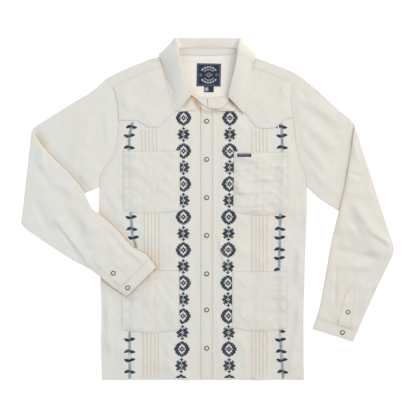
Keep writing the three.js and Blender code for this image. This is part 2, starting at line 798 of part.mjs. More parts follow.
function makeSnapRim() {
  const { radius, floor, rimHeight, rimWidth, chamfer } = SNAP;
  return turned([
    flat(0, 0),
    flat(radius - chamfer, 0),
    flat(radius, floor),
    flat(radius - chamfer, rimHeight),
    flat(radius - rimWidth, rimHeight),
    flat(radius - rimWidth, floor),
    flat(0, floor),
  ]);
}

function makeSnapCap() {
  const { height, edge, shoulder, shoulderRadius } = SNAP_CAP;
  const radius = SNAP.radius - SNAP.rimWidth - GAP;
  const foot = SNAP.floor + GAP;
  return turned([
    flat(0, foot),
    flat(radius, foot),
    flat(radius, foot + height * edge),
    flat(radius * shoulderRadius, foot + height * shoulder),
    flat(0, foot + height),
  ]);
}

// The highest point of a mesh under a disc, where a hard piece can sit.
function seatOn(mesh, x, y, radius) {
  const ray = new THREE.Raycaster();
  const spots = [flat(0, 0), ...new THREE.EllipseCurve(0, 0, radius, radius).getPoints(12)];
  const heights = spots.flatMap((spot) => {
    ray.set(new THREE.Vector3(x + spot.x, y + spot.y, CUT.depth), DOWN);
    return ray.intersectObject(mesh).map((hit) => hit.point.z);
  });
  return Math.max(...heights);
}

// ---- The shirt ----

const shirt = new THREE.Group();

function addPiece(name, geometry, { color = CREAM, roughness = 0.9, metalness = 0 } = {}) {
  const material = new THREE.MeshStandardMaterial({ color, roughness, metalness });
  const mesh = new THREE.Mesh(geometry, material);
  mesh.name = name;
  shirt.add(mesh);
  return mesh;
}

const addSolid = (name, solid, look) => addPiece(name, geometryOf(solid), look);

function addSnap(name, carrier, x, y) {
  const rim = addPiece(name, makeSnapRim(), { color: SNAP_GREY, roughness: 0.35, metalness: 0.9 });
  const cap = addPiece(name + "_cap", makeSnapCap(), { color: PEARL, roughness: 0.25 });
  const seat = seatOn(carrier, x, y, SNAP.radius) + GAP;
  for (const mesh of [rim, cap]) mesh.position.set(x, y, seat);
}

addSolid("back", makeBack());
addSolid("back_yoke", makeBackYoke());

const frontEdge = { left: PLACKET.right - GAP, right: PLACKET.right + GAP };
const yokeEdge = { left: PLACKET.left - GAP, right: PLACKET.right + GAP };
for (const side of SIDES) {
  const shoulderCut = below(forwardSeam(side));
  addSolid("front_" + side, onFront(side, 0, [frontOutline(side, frontEdge[side]), shoulderCut]));
  const yokeCuts = [frontOutline(side, yokeEdge[side]), shoulderCut, above(YOKE_EDGES[side])];
  addSolid("front_yoke_" + side, onFront(side, OVERLAY, yokeCuts));
}

for (const pocket of POCKETS) {
  addSolid(pocket.name, onFront(pocket.side, OVERLAY, [pocketOutline(pocket)]));
}

const placket = addSolid("placket", makePlacket());
SNAP_FRONT_Y.forEach((y, i) => addSnap("snap_front_" + (i + 1), placket, SNAP_X, y));

for (const side of SIDES) {
  const { sleeve, cuff } = sleeveStations(side);
  const sleeveTube = flatTube(sleeve, WALL);
  const cuffTube = flatTube(cuff, BAND);
  addPiece("sleeve_" + side, sleeveTube.geometry);
  const cuffMesh = addPiece("cuff_" + side, cuffTube.geometry);

  // The sleeve placket lies on the forearm's own points, moved up.
  const forearmRings = sleeveTube.rings.slice(-FOREARM_STEPS.length).map(backOfRing);
  const skin = (rise) => forearmRings.map((ring) => ring.map((p) => p.clone().addScaledVector(UP, rise)));
  const strip = solidOf(wallBetween(skin(GAP + WALL), skin(GAP)));
  const { outline, snaps } = SLEEVE_PLACKETS[side];
  const stripMesh = addSolid("sleeve_placket_" + side, strip.intersect(cutter(outline)));
  addSnap("snap_sleeve_" + side + "_1", stripMesh, snaps[0].x, snaps[0].y);
  addSnap("snap_sleeve_" + side + "_2", cuffMesh, snaps[1].x, snaps[1].y);
}

addPiece("collar_leaf", makeLeaf());
addPiece("collar_stand", makeStand());

for (const name of Object.keys(LABELS)) addSolid(name, makeLabel(name), { color: NAVY });
const { left, right, bottom, top } = POCKET_TAB;
const tabOutline = [flat(left, bottom), flat(right, bottom), flat(right, top), flat(left, top)];
addSolid("pocket_tab", onFront("right", 2 * OVERLAY, [tabOutline]), { color: NAVY });

export default shirt;
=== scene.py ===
"""A guayabera shirt laid flat: cloth, sewing, embroidery and pearl snaps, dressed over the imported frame.

The file is laid out as a Blender add-on and is run as a script. Lengths in the tables are millimetres on
the frame's own axes, and MM turns them into Blender's metres. "left" is the -X side."""

import math

import bpy
import numpy as np
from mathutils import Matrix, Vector, geometry
from mathutils.bvhtree import BVHTree


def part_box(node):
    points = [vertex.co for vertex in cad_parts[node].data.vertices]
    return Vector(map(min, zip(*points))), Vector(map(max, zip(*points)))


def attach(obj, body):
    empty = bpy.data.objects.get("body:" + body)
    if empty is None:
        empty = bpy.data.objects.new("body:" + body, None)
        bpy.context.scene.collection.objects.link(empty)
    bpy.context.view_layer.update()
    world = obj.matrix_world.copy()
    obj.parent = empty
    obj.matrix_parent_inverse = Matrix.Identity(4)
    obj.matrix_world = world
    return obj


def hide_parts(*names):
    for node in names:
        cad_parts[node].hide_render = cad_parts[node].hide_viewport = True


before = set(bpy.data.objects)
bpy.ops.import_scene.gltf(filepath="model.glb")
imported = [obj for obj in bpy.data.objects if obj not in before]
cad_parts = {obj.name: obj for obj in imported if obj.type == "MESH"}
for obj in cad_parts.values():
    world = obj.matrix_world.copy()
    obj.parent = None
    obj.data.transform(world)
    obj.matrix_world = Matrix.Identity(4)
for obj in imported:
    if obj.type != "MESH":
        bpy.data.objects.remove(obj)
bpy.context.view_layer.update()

bl_info = {
    "name": "Guayabera shirt",
    "version": (1, 0, 0),
    "blender": (4, 5, 0),
    "location": "View3D > Sidebar > Shirt",
    "description": "Builds the cloth, sewing, embroidery and snaps of a guayabera shirt laid flat",
    "category": "Object",
}

MM = 0.001
BODY = "root"
SIDES = ("left", "right")
INWARD = {"left": 1, "right": -1}  # sign of X from a side towards the middle

# ---- Heights of the layers, above the surface that the shirt lies on ----

WALL = 1.0  # what one layer takes up
CLOTH = 0.6  # thickness drawn for one layer
GAP = 0.3
BACK = {"bottom": 0.1, "top": 1.0}
FRONT_TOP = 2.3
OVERLAY = 1.3  # how far a yoke or pocket lies above a front
LABEL_TOP = 2.3
LABEL_ABOVE = 0.55  # how far the pocket's tab lies above the pocket
UP = np.array([0.0, 0.0, 1.0])

HEM = {"y": -427.0, "depth": 30.0, "rise": 0.25, "dip": 0.15}
YOKE_SEAM_Y = 262.0
PLACKET = {"left": -17.3, "right": 12.5, "middle": -2.4, "underside": 2.6, "doubled": 1.6, "climb": 9.0}
TUCKS = {"count": 5, "pitch": 9.2, "width": 3.0, "height": 0.75, "ridge": 0.45, "full": 196.0, "start": 202.0}
TUCK_COLUMNS = np.array([-0.5, -0.28, 0.0, 0.13, 0.32, 0.5, 0.75])  # in widths, from a tuck's middle
TUCK_MIDDLE = {  # y, x of the middle tuck
    "left": [(210, -146), (-15, -138.5), (-150, -138.5), (-330, -140), (-427, -140)],
    "right": [(210, 131.5), (-150, 131.5), (-427, 131)],
}

# A pocket stands off the front most in its middle and at its mouth. Reaches are from its edges.
POCKET = {
    "hem": 21.0, "slack": 0.7, "slack_reach": 30.0, "mouth": 0.5, "mouth_depth": 30.0,
    "mouth_reach": 12.0, "wave_reach": 8.0, "wrinkle_reach": 18.0, "tucks_felt": 0.4,
}

# How far from these the cloth of a front begins to wave, and where it waves in full.
CALM = {"placket": 16.0, "past_placket": 45.0, "armhole": 24.0, "at_armhole": 0.1, "forearm": 20.0}

# ---- Outlines in plan that the pieces share ----

SIDE_SEAMS = {
    "left": [(-264.5, -427), (-266, -370), (-265.5, -250), (-270, -140), (-273, -10), (-271.5, 55)],
    "right": [(240.5, -427), (239.5, -370), (239.5, -250), (243, -140), (247.5, -10), (248, 55)],
}

# From the shoulder tip down to the armpit.
ARMHOLES = {
    "left": [(-254.5, 326), (-240, 311), (-228, 275), (-223.5, 232), (-225.5, 185),
             (-232, 143), (-247, 118), (-260.5, 100), (-270.5, 77), (-271.5, 55)],
    "right": [(228, 335), (214, 313), (209.5, 288), (211.5, 247), (217.5, 202),
              (223, 152), (232, 119), (242, 94), (247, 74), (248, 55)],
}

# The shoulder folds, from the neck to the shoulder tip.
SHOULDERS = {
    "left": [(-98, 389), (-121, 381.5), (-150, 373), (-184, 360), (-219, 345), (-254.5, 326)],
    "right": [(98, 387), (119, 379), (145, 370), (175, 359), (205, 347), (228, 335)],
}
FORWARD_SEAM = 26.0  # from the shoulder fold to the seam on the front
SHOULDER_FOLD = 1.05  # radius of the middle of the wall where the yoke wraps over
YOKE_TURN_IN = 3.2  # how far the wrap reaches in under the shoulder, over the inner yoke
WRAP_RAISED = 0.2
NECK_LIFT = {"from": 364.0, "to": 378.0, "height": 2.2}
BACK_NECK = [(-82, 385.5), (-45, 383.5), (45, 383.5), (82, 385)]
INNER_YOKE_TIPS = {"left": (-256, 326), "right": (229, 334)}
INNER_YOKE_SEAM = {"left": (-226.5, YOKE_SEAM_Y + 0.15), "right": (211.0, YOKE_SEAM_Y + 0.15)}
INNER_YOKE_THICKNESS = 0.9

# The upper sleeve runs from the armhole to the fold at the elbow, and the forearm from there,
# turned back over it, to the end of the cuff.
SLEEVE_EDGES = {
    "left": {
        "outward": -1,
        "top": [(-254.5, 326), (-289.5, 295), (-350.8, 257.5), (-435.2, 204)],
        "under": [(-271.5, 55), (-308.3, 38.8), (-385, 4), (-461.8, -31.5)],
        "forearm_top": [(-436.6, 191.5), (-400, 142.5), (-342.5, 85), (-309.8, 43.5), (-289.5, 3),
                        (-271.3, -12), (-230.5, -48.3), (-187, -96), (-155, -113), (-128.5, -146)],
        "forearm_under": [(-462.8, -40.5), (-442, -59), (-350.8, -120), (-289.5, -154),
                          (-239.5, -194), (-202.8, -219)],
    },
    "right": {
        "outward": 1,
        "top": [(228, 335), (277, 295), (319.8, 255), (358.6, 223.5)],
        "under": [(248, 55), (280.5, 26), (328, -5), (460.3, -91.4)],
        "forearm_top": [(365.2, 203), (347, 84), (328, -5), (310.5, -79.3), (294.8, -165),
                        (280, -245), (261.3, -299)],
        "forearm_under": [(464.7, -105.3), (458, -125), (418, -210), (390, -272), (364.5, -331)],
    },
}
SLEEVE = {
    "half": 2.0, "half_at_armhole": 1.3, "fold_radius": 2.1, "settle": 42.0,
    "droop": 0.5, "droop_reach": 14.0,
}
CUFF = {  # the sleeve is thinner inside it, from and over these shares of its length
    "width": 28.0, "half": 2.3, "wall": 1.0, "thins": 0.9, "from": 0.985, "over": 0.01,
}
FOREARM_REST = 4.9  # height of a forearm's underside over what it lies on
FOREARM_FALL = (12.0, 62.0)  # distances past that over which it falls to the surface
ARMHOLE_FADE = {"bend": 4, "flatness": 6}
THINNEST = 0.08  # half the thickness of a sleeve's inner skin where it is tucked in
TUCKED_IN = 2.5  # how far a sleeve runs on under the body, and into its cuff
UNDER_BODY = 0.6  # how much thinner its half is there

# Shares of a sleeve's length over which its waves and its painted shade begin and end, and the share of the
# waves that a cuff keeps.
SLEEVE_CALM = {
    "armhole": 0.1, "before_elbow": 0.06, "shade": 0.12, "after_elbow": 0.08, "at_cuff": 0.06, "cuff": 0.3,
}
SLEEVE_PLACKET = {  # held is the share of its size whose heights are read, short of the cuff
    "above": 0.95, "thickness": 0.7, "held": 0.93, "turn": {"left": 0.8, "right": 0.25},
}

# Points round a sleeve: insets from its edges in halves of its thickness, and steps between them.
EDGE_INSETS = np.array([0.0, 0.08, 0.25, 0.55, 1.0, 1.5, 2.0])
MIDDLE_STEPS = 62

# Stations along a sleeve: shares of the upper sleeve, degrees round the fold, shares of the rest.
UPPER_U = np.concatenate([[0, 0, 0.004, 0.009, 0.016, 0.026, 0.04], np.linspace(0.06, 1, 62)])
TURN_DEGREES = np.linspace(-75, 75, 11)
FOREARM_U = np.concatenate([np.linspace(0, 0.97, 96), [0.978, 0.986, 0.993, 1.0]])
CUFF_U = np.concatenate([[0, 0.04, 0.1, 0.2], np.linspace(0.3, 0.9, 6), [0.96, 1.0]])

# ---- Collar: sections from its left end round the back of the neck to its right end ----

# join x y z, crest x y z, outer edge x y z, crown
LEAF_SECTIONS = [
    (-40, 286, 7.6, -37.5, 288, 12, -76.5, 242, 5.2, 1),
    (-58, 317, 12, -56, 314, 17.5, -89, 282, 5, 2.5),
    (-66, 341, 15.5, -63.5, 341, 21.5, -98.5, 322, 5, 3),
    (-73, 374, 18, -70, 374, 24.5, -109.5, 355, 5.2, 3),
    (-74, 396, 16, -74, 405, 23, -119, 377, 7.5, 3),
    (-71, 401, 11, -80.5, 426.5, 10, -121, 387.5, 4, 0),
    (-62, 403, 7.5, -74, 427, 4.5, -104, 388, 0.9, 0),
    (-40, 404, 5.6, -42, 427.3, 3.8, -62, 386.5, 0.85, 0),
    (0, 404, 5.1, 0, 427, 3.6, 0, 386, 0.85, 0),
    (40, 404, 5.6, 42, 427, 3.8, 62, 386.5, 0.85, 0),
    (62, 403, 7.5, 74, 426.5, 4.5, 103, 386, 0.9, 0),
    (71, 401, 11, 80.5, 426, 10, 119, 384.5, 4, 0),
    (75, 396, 16, 76, 404, 23, 117, 374, 7.5, 3),
    (75, 372, 18, 72, 372, 24.5, 110, 352, 5.2, 3),
    (69, 344, 15.5, 66, 344, 21.5, 105, 316, 5, 3),
    (61, 316, 12, 58.5, 314, 17.5, 99.5, 276, 5, 2.5),
    (53.5, 281, 7.6, 51, 280, 12, 90, 238, 5.2, 1),
]

# seam to the body x y z, top edge x y z
STAND_SECTIONS = [
    (-2, 277.5, 5.0, 1, 253, 5.9),
    (-14, 278, 5.0, -13, 261.5, 5.8),
    (-30, 281.5, 5.0, -28, 275, 5.9),
    (-45, 287, 5.0, -42.5, 287, 6.4),
    (-62, 300.5, 5, -60, 316, 10.5),
    (-76, 322, 5, -68, 340, 14),
    (-88, 352, 5, -75, 373, 16.5),
    (-92, 380, 6.6, -76, 395, 14.5),
    (-80, 388, 5.2, -72, 400, 9.5),
    (-60, 386, 4.4, -60, 402.5, 6),
    (0, 385, 4, 0, 402.5, 4.6),
    (60, 386, 4.4, 60, 402.5, 6),
    (80, 388, 5.2, 72, 400, 9.5),
    (92, 379, 6.6, 77, 395, 14.5),
    (89, 351, 5, 77, 371, 16.5),
    (79, 323, 5, 71, 343, 14),
    (68, 303, 5, 63, 316, 10.5),
    (58, 289, 5.0, 55.5, 282, 6.4),
    (40, 280.5, 5.0, 47, 261, 6.2),
    (22, 278.5, 5.4, 30, 250.5, 6.3),
    (0, 277.5, 6.4, 1, 252.3, 7.2),
]
COLLAR_THICKNESS = 1.4
LEAF_TUCKED_IN = 2.6  # how far the leaf runs on under the stand, and the stand under the body
STAND_TUCKED_IN = 1.2
NECK_CREASES = {"to_x": 82.0, "fade_x": 14.0, "from_y": 404.0, "fade_y": 6.0}

# ---- Soft folds: ridges, or troughs where the height is negative ----

# start x y, end x y, half width, height, lean: above 0 it is steeper on the right of the way it runs
FOLDS = {
    "front_left": [
        (-250, -205, -248, -375, 12, 6.0, 0.3),
        (-232, -260, -238, -400, 9, -1.6, 0),
        (-262, 60, -215, -20, 16, 3.4, 0.2),
        (-205, 60, -250, 5, 14, -1.6, 0),
        (-110, -150, -112, 0, 12, 1.8, 0),
        (-100, -320, -92, -425, 13, 2.4, 0),
        (-35, 190, -45, 60, 12, 1.8, 0),
        (-36, -60, -30, -250, 10, -1.3, 0),
        (-27, -270, -29, -420, 7, -1.6, 0),
        (-262, -90, -232, -180, 14, 2.8, 0),
    ],
    "front_right": [
        (236, -85, 222, -190, 12, 7.0, -0.3),
        (226, 60, 236, -60, 10, -1.6, 0),
        (245, 35, 205, -20, 16, 3.6, 0.2),
        (232, -225, 222, -330, 10, 5.4, -0.2),
        (228, -290, 204, -425, 15, 6.0, -0.3),
        (90, -320, 96, -425, 13, 2.2, 0),
        (44, 185, 38, 40, 11, 1.8, 0),
        (24, -55, 48, -160, 10, 3.2, 0.3),
        (22, -250, 30, -400, 9, 2.2, 0),
    ],
    "upper_left": [
        (-262, 108, -330, 62, 26, 4.0, 0),
        (-250, 280, -330, 210, 30, 2.2, 0),
        (-300, 230, -420, 130, 26, -1.6, 0),
        (-258, 262, -250, 150, 10, 2.0, 0.3),
        (-285, 200, -340, 120, 20, 2.4, -0.3),
    ],
    "upper_right": [
        (238, 282, 350, 200, 26, 5.0, 0.1),
        (222, 306, 256, 268, 10, -2.0, 0),
        (228, 236, 326, 136, 24, 3.2, 0.1),
        (232, 180, 310, 76, 20, 3.0, 0.1),
        (256, 110, 300, 50, 16, 2.0, 0),
    ],
    "forearm_left": [
        (-396, -4, -284, -154, 18, 5.2, 0.66),
        (-440, 130, -388, 44, 15, -2.8, 0),
        (-396, 78, -318, 24, 20, 3.4, 0.1),
        (-442, 34, -394, -58, 16, -2.6, 0),
        (-350, 22, -262, -82, 24, 3.4, 0.1),
        (-258, -44, -192, -132, 14, -3.0, 0),
        (-204, -94, -150, -142, 13, 3.0, 0),
        (-418, 168, -402, 92, 9, 2.4, -0.3),
    ],
    "forearm_right": [
        (352, 26, 420, -66, 22, 4.6, 0.25),
        (392, -48, 472, -96, 16, 4.8, 0.3),
        (350, -8, 384, -72, 15, -2.6, 0),
        (346, 94, 390, 76, 8, -3.2, 0),
        (314, -102, 384, -114, 15, -2.8, 0),
        (366, -114, 432, -124, 14, -2.4, 0),
        (350, -146, 416, -142, 15, 2.8, 0),
        (321, -112, 316, -262, 10, -3.0, 0),
        (292, -258, 314, -272, 9, -1.6, 0),
        (372, 120, 366, 180, 12, 2.0, 0),
        (412, -168, 380, -270, 11, 2.4, 0),
    ],
}

# Gentle uneven waves: stretch in x and in y, wavelength, height, seed.
WAVES = {
    "front": (1.2, 0.75, 75, 5.5, 5),
    "inner_yoke": (1, 1, 90, 0.12, 3),
    "front_yoke": (1, 1, 60, 1.2, 11),
    "placket": (1, 1, 80, 0.2, 17),
    "pocket_upper_left": (1, 1, 40, 2.6, 20),
    "pocket_upper_right": (1, 1, 40, 2.6, 21),
    "pocket_lower_left": (1, 1, 40, 2.6, 25),
    "pocket_lower_right": (1, 1, 40, 2.6, 26),
    "wrinkled_pocket": (0.45, 1.2, 30, 8.0, 4),
    "upper_sleeve": (1, 1, 70, 5.5, 21),
    "forearm": (1, 1, 62, 5.5, 31),
    "collar_leaf": (0.35, 2.0, 30, 6.0, 9),
    "label": (1, 1, 40, 0.12, 2),
}
WAVE_OCTAVES = ((1.0, 1.0), (2.6, 0.36))  # times as fine, and share of the height
WAVES_IN_OCTAVE = 6

# ---- Edges and seams, and the shade painted along them ----

# Distances from its edge at which a piece is topstitched.
STITCH_ROWS = {
    "back_yoke": (2.0,),
    "front": (2.2, 7.0),
    "front_yoke": (2.2,),
    "pocket": (2.2,),
    "placket": (2.0, 6.2),
    "sleeve_placket": (2.0,),
    "cuff": (3.0,),
    "collar_leaf": (6.0,),
    "collar_stand": (3.0,),
}
STITCH_DIP_WIDTH = 0.8

# Depth of the dip along the stitching, then depth and reach of the roll down at the edge.
EDGE_FORMS = {
    "back": (0, 0.2, 1.4),
    "back_yoke": (0.22, 0, 1),
    "front": (0.12, 0.5, 2.5),
    "front_yoke": (0.22, 0.45, 1.6),
    "pocket": (0.22, 0.45, 1.6),
    "placket": (0.22, 0.5, 1.6),
    "sleeve_placket": (0.22, 0.35, 1.4),
    "collar_leaf": (0.16, 0, 1),
    "neck_label": (0, 0.2, 0.8),
    "size_tab": (0, 0.2, 0.8),
    "pocket_tab": (0, 0.15, 0.6),
}

# Shade painted along edges and lines: at an edge, strength and reach; along a line, strength, place and
# width.
PAINTED_SEAM_SHADES = {
    "back": ((0.3, 2.5), ()),
    "inner_yoke": ((0.35, 2.0), ()),
    "forward_seam": ((), (0.16, FORWARD_SEAM + GAP, 1.3)),
    "front": ((0.12, 2.0), ()),
    "hem": ((), (0.07, HEM["y"] + HEM["depth"], 1.1)),
    "armhole": ((0.3, 2.2), ()),
    "armhole_stitching": ((), (0.1, 7.0, 1.2)),
    "yoke_armhole": ((0.38, 2.2), ()),
    "front_yoke": ((0.16, 1.8), (0.07, 2.4, 0.9)),
    "pocket": ((0.12, 1.8), (0.1, 2.4, 0.9)),
    "pocket_mouth": ((0.5, 2.2), (0.04, POCKET["hem"], 1.2)),
    "placket_seam": ((0.3, 1.6), (0.12, 2.4, 1.0)),
    "placket_edge": ((0.25, 1.2), ()),
    "sleeve_at_armhole": ((0.3, 2.4), ()),
    "sleeve_at_cuff": ((0.12, 2.2), ()),
    "felled_seam": ((), (0.12, 6.0, 1.2)),
    "forearm_edge": ((0.42, 3.0), ()),
    "cuff": ((0.16, 1.4), (0.12, 3.0, 1.2)),
    "sleeve_placket": ((0.26, 1.6), (0.06, 2.2, 0.9)),
    "collar_leaf": ((0.2, 1.4), (0.12, 6.0, 1.1)),
    "leaf_join": ((0.3, 6.0), ()),
    "collar_stand": ((0.3, 1.6), (0.12, 3.0, 1.0)),
}
PAINTED_SHADE_LIMIT = 0.9
ARMHOLE_PAINTED_SHADE = {"low": 0.4, "from_y": 130.0, "over": 90.0}  # the shade painted along an armhole's seam is stronger at its top
# Strength of the shade painted in a tuck's crease, on a front and on a pocket.
PAINTED_TUCK_SHADE = {"front": 0.4, "pocket": 0.12}

# Where light bounces between layers of undyed cloth it turns warm, and that warm shade is painted into the
# cloth's colour. These are the hollows under the collar: start x y, end x y, reach, strength.
PAINTED_HOLLOWS = [
    (-42, 281, -58, 256, 9, 0.55),
    (-40, 281, -18, 250, 10, 0.75),
    (-16, 246, 0, 243, 9, 0.4),
    (4, 243, 50, 243, 10, 0.4),
    (52, 280, 64, 262, 11, 0.85),
    (62, 264, 87, 241, 9, 0.6),
    (-117, 378, -103, 322, 6, 0.5),
    (-104, 320, -82, 244, 5, 0.25),
    (112, 382, 108, 350, 8, 0.3),
    (-430, 190, -408, 164, 14, 0.2),
]
# Warm shade painted beside a forearm: strength and reach of each layer, then the share of it on each side.
PAINTED_BOUNCE = ((0.34, 6), (0.2, 32))  # beside a forearm: strength, reach
PAINTED_BOUNCE_SHARE = {"left": 1.0, "right": 0.5}

# ---- Embroidery ----

# One repeat of the bands, charted: a stepped medallion with a diamond in it, then a small
# flower. # is a cross stitch.
BAND_CHART = """
.....###.....
...#######...
..####.####..
.####...####.
.###..#..###.
####.###.####
###.##.##.###
####.###.####
.###..#..###.
.####...####.
..####.####..
...#######...
.....###.....
.............
......#......
.....###.....
...#..#..#...
..####.####..
...#######...
..####.####..
.####.#.####.
..####.####..
...#######...
..####.####..
...#..#..#...
.....###.....
......#......
.............
""".split()

# Middle of each band down the body: y, then x on the left and on the right.
BANDS = {
    "top": 247.0,
    "clear_of_hem": 4,
    "left": [(247, -60.5), (-250, -61.5), (-420, -67)],
    "right": [(247, 55.5), (100, 55), (-160, 50), (-420, 54)],
}

# Middle of each leafy strip down the body.
STRIPS = {
    "left": [(216, -189), (180, -196.5), (150, -196.5), (-5, -193), (-65, -188.5), (-95, -179.5),
             (-305, -195.5), (-425, -195)],
    "right": [(216, 184.5), (142, 186.5), (-8, 181.5), (-155, 178.5), (-308, 180.5), (-425, 188.5)],
}
LEAF_SPACING = 25.5
STEM = {"width": 8.6, "spacing": 1.5, "slant": 0.9, "thread": 1.35, "depth": 0.4}
LEAF = {  # rise is the angle above level, in radians
    "length": 14.5, "width": 9.0, "rise": 0.26, "bend": 1.2,
    "stitches": 12, "slant": 0.5, "thread": 1.5, "depth": 0.6,
}
CROSS = {"half": 0.47, "wobble": 0.05, "width": 0.62, "lift": 0.12}  # in widths of a stitch, but for lift
STITCH_DEPTH = 0.55
TOPSTITCH = {"width": 0.55, "rise": 0.3, "pitch": 1.3}  # pitch is in lengths of a stitch
SEWN = {  # where the rows of topstitching end, and the row across a collar point
    "below_yoke": 198.0, "from_armhole": 9.0, "from_mouth": 5.0, "from_middle": 22.0, "collar_point": 7.0,
}
SHOWN_THROUGH = {  # strengths, then half widths
    "all": 0.34, "stem": 0.65, "leaves": 0.6, "stem_width": 5.5, "leaf_width": 4.5,
}

# ---- Labels and snaps ----

LOZENGE = [(1, 0), (0, 1), (-1, 0), (0, -1), (1, 0)]
BORDER = [(-1, -1), (1, -1), (1, 1), (-1, 1), (-1, -1)]

# Woven figures in place of words: line, half width and half height, width of the line, x of the middles.
NECK_FIGURES = [
    (LOZENGE, (9, 6), 0.9, (0,)),
    (LOZENGE, (4.95, 3.3), 0.9, (0,)),
    (LOZENGE, (-3.5, 3.0), 0.9, (-20, 20)),
    (BORDER, (27.0, 25.6), 0.7, (0,)),
]
TAB_FIGURES = [
    (BORDER, (15.5, 3.1), 0.9, (0,)),
    (LOZENGE, (-1.5, 1.5), 1.1, np.linspace(-12.5, 12.5, 8)),
]

# Swags above and below the lozenge: radius, width of the line, half angle, points in each block.
SWAGS = [(19.5, 4.4, 1.0, 4), (13.2, 2.2, 0.9, 6)]
SIZE_BLOCK = {"line": [(-11.0, 0), (-1.5, 0)], "width": 9.0}
FIGURE = {"lift": 0.05, "above": 0.14, "below": 0.1}  # lift is over the label, the others from there
SNAP_SIDES = 40
SNAP_RIM = {  # a rolled bead round a flat well, on a foot. Pairs are inset from the outside, and height
    "foot": [(1.2, 0.0), (0.5, 0.12)], "half": 1.1, "middle": 1.0, "rise": 0.85, "well": (2.05, 0.75),
}
SNAP_CAP = {"inset": 2.15, "base": 0.85, "edge": 1.25, "rise": 0.95}

# ---- Stage ----

FLOOR_HALF = 12.0  # in metres
LIGHTS = {  # power's property, colour, place and size in metres
    "key_light": ("key", "FFF9F0", (2.0, 1.5, 2.4), 2.7),
    "fill_light": ("fill", "CFE6FF", (-1.15, -0.2, 1.15), 1.2),
}
CAMERA = {"sensor": 36.0, "x": 0.5, "y": 2.5, "focus": 4.0}  # focus is a height above the surface

# ---- Settings that a user would change ----


def linear(hex_colour):
    """An sRGB hex colour as linear red, green and blue."""
    values = [int(hex_colour[i : i + 2], 16) / 255 for i in (0, 2, 4)]
    return tuple(v / 12.92 if v <= 0.04045 else ((v + 0.055) / 1.055) ** 2.4 for v in values)


def colour_property(name, description, hex_colour):
    return bpy.props.FloatVectorProperty(
        name=name, description=description, subtype="COLOR", min=0, max=1, default=linear(hex_colour)
    )


def length_property(name, description, millimetres):
    return bpy.props.FloatProperty(
        name=name, description=description, unit="LENGTH", min=0, precision=5, default=millimetres * MM
    )


def amount_property(name, description, amount):
    return bpy.props.FloatProperty(name=name, description=description, min=0, default=amount)


class ShirtCloth(bpy.types.PropertyGroup):
    cloth: colour_property("Cloth", "Undyed cotton and linen shirting", "EFECE4")
    # Painted light: the inside of the back yoke gets a lighter, warmer colour that stands in for light
    # bouncing inside the neck.
    lining: colour_property("Lining", "Inside of the back yoke, cut from whiter cloth", "FEF9F2")
    # The seam colour is painted shade: the warm shade deep in seams, along edges, in tucks and in hollows.
    seam: colour_property("Seam shade", "Colour that the cloth takes deep in seams and tucks", "C8A274")
    shown_through: colour_property("Shown through", "Dark thread seen faintly through a layer", "AEBBC6")
    label: colour_property("Label", "Ground of the woven labels", "061A40")
    grid: length_property("Grid", "Distance between points across a panel", 4.5)
    weave: length_property("Weave pitch", "Distance between drawn threads", 1.5)
    crease: bpy.props.FloatProperty(
        name="Creases", description="Strength of the soft folds", subtype="FACTOR", min=0, max=2, default=1
    )


class ShirtThread(bpy.types.PropertyGroup):
    navy: colour_property("Navy floss", "Embroidery of the bands and leaves", "0C2E44")
    stem: colour_property("Stem floss", "Grey-blue stem of the strips", "9FABB2")
    sewing: colour_property("Sewing thread", "Topstitching", "E6DCC8")
    figure: colour_property("Label figure", "Woven figures on the labels", "B9BFC2")
    stitch: length_property("Cross stitch", "Width of one cross stitch", 2.95)
    topstitch: length_property("Topstitch", "Length of one stitch of a seam", 2.5)


class ShirtSnap(bpy.types.PropertyGroup):
    metal: colour_property("Snap metal", "Satin nickel of the rims", "6C6B61")
    pearl: colour_property("Pearl", "Acrylic pearl of the caps", "F1EEE4")


class ShirtStage(bpy.types.PropertyGroup):
    floor: colour_property("Floor", "Plain white surface", "FFFFFF")
    glow: amount_property("Floor glow", "Light that comes up through the surface", 0.35)
    ambient: amount_property("Ambient", "Light from all round", 0.455)
    key: amount_property("Key", "Power of the soft light on the right, in watts", 67)
    fill: amount_property("Fill", "Power of the soft light on the left, in watts", 6.2)
    lens: bpy.props.FloatProperty(
        name="Lens", description="Focal length", unit="CAMERA", min=20, default=85
    )
    framed: length_property("Framed width", "Width of the surface that the camera takes in", 1040)


# ---- Curves and distances in plan ----


def smooth(t):
    t = np.clip(t, 0.0, 1.0)
    return t * t * (3.0 - 2.0 * t)


def refined(points, times, axis=0):
    """A smooth curve through points, with this many steps between neighbours, along one axis."""
    p = np.moveaxis(np.asarray(points, float), axis, 0)
    last = len(p) - 1
    t = np.linspace(0, last, times * last + 1)
    i = np.minimum(t.astype(int), last - 1)
    w = (t - i).reshape((-1,) + (1,) * (p.ndim - 1))
    p0, p1, p2, p3 = (p[np.clip(i + k, 0, last)] for k in (-1, 0, 1, 2))
    v0, v1 = (p2 - p0) / 2, (p3 - p1) / 2
    made = (2 * p1 - 2 * p2 + v0 + v1) * w**3 + (-3 * p1 + 3 * p2 - 2 * v0 - v1) * w**2 + v0 * w + p1
    return np.moveaxis(made, 0, axis)


def run_along(points):
    return np.concatenate([[0.0], np.cumsum(np.linalg.norm(np.diff(points, axis=0), axis=1))])


def on_line(points, lengths):
    """Points at these lengths along a line of straight pieces."""
    run = run_along(points)
    return np.stack([np.interp(lengths, run, points[:, k]) for k in range(points.shape[1])], -1)


def on_curve(points, shares):
    """Points at these shares of the length of a smooth curve."""
    fine = refined(points, 24)
    return on_line(fine, np.asarray(shares) * run_along(fine)[-1])


def even(outline, step):
    """A closed outline with its corners kept and points between them no further apart than step."""
    points = []
    for a, b in zip(outline, np.roll(outline, -1, axis=0)):
        count = max(1, math.ceil(np.linalg.norm(b - a) / step))
        points.append(a + (b - a) * (np.arange(count) / count)[:, None])
    return np.concatenate(points)


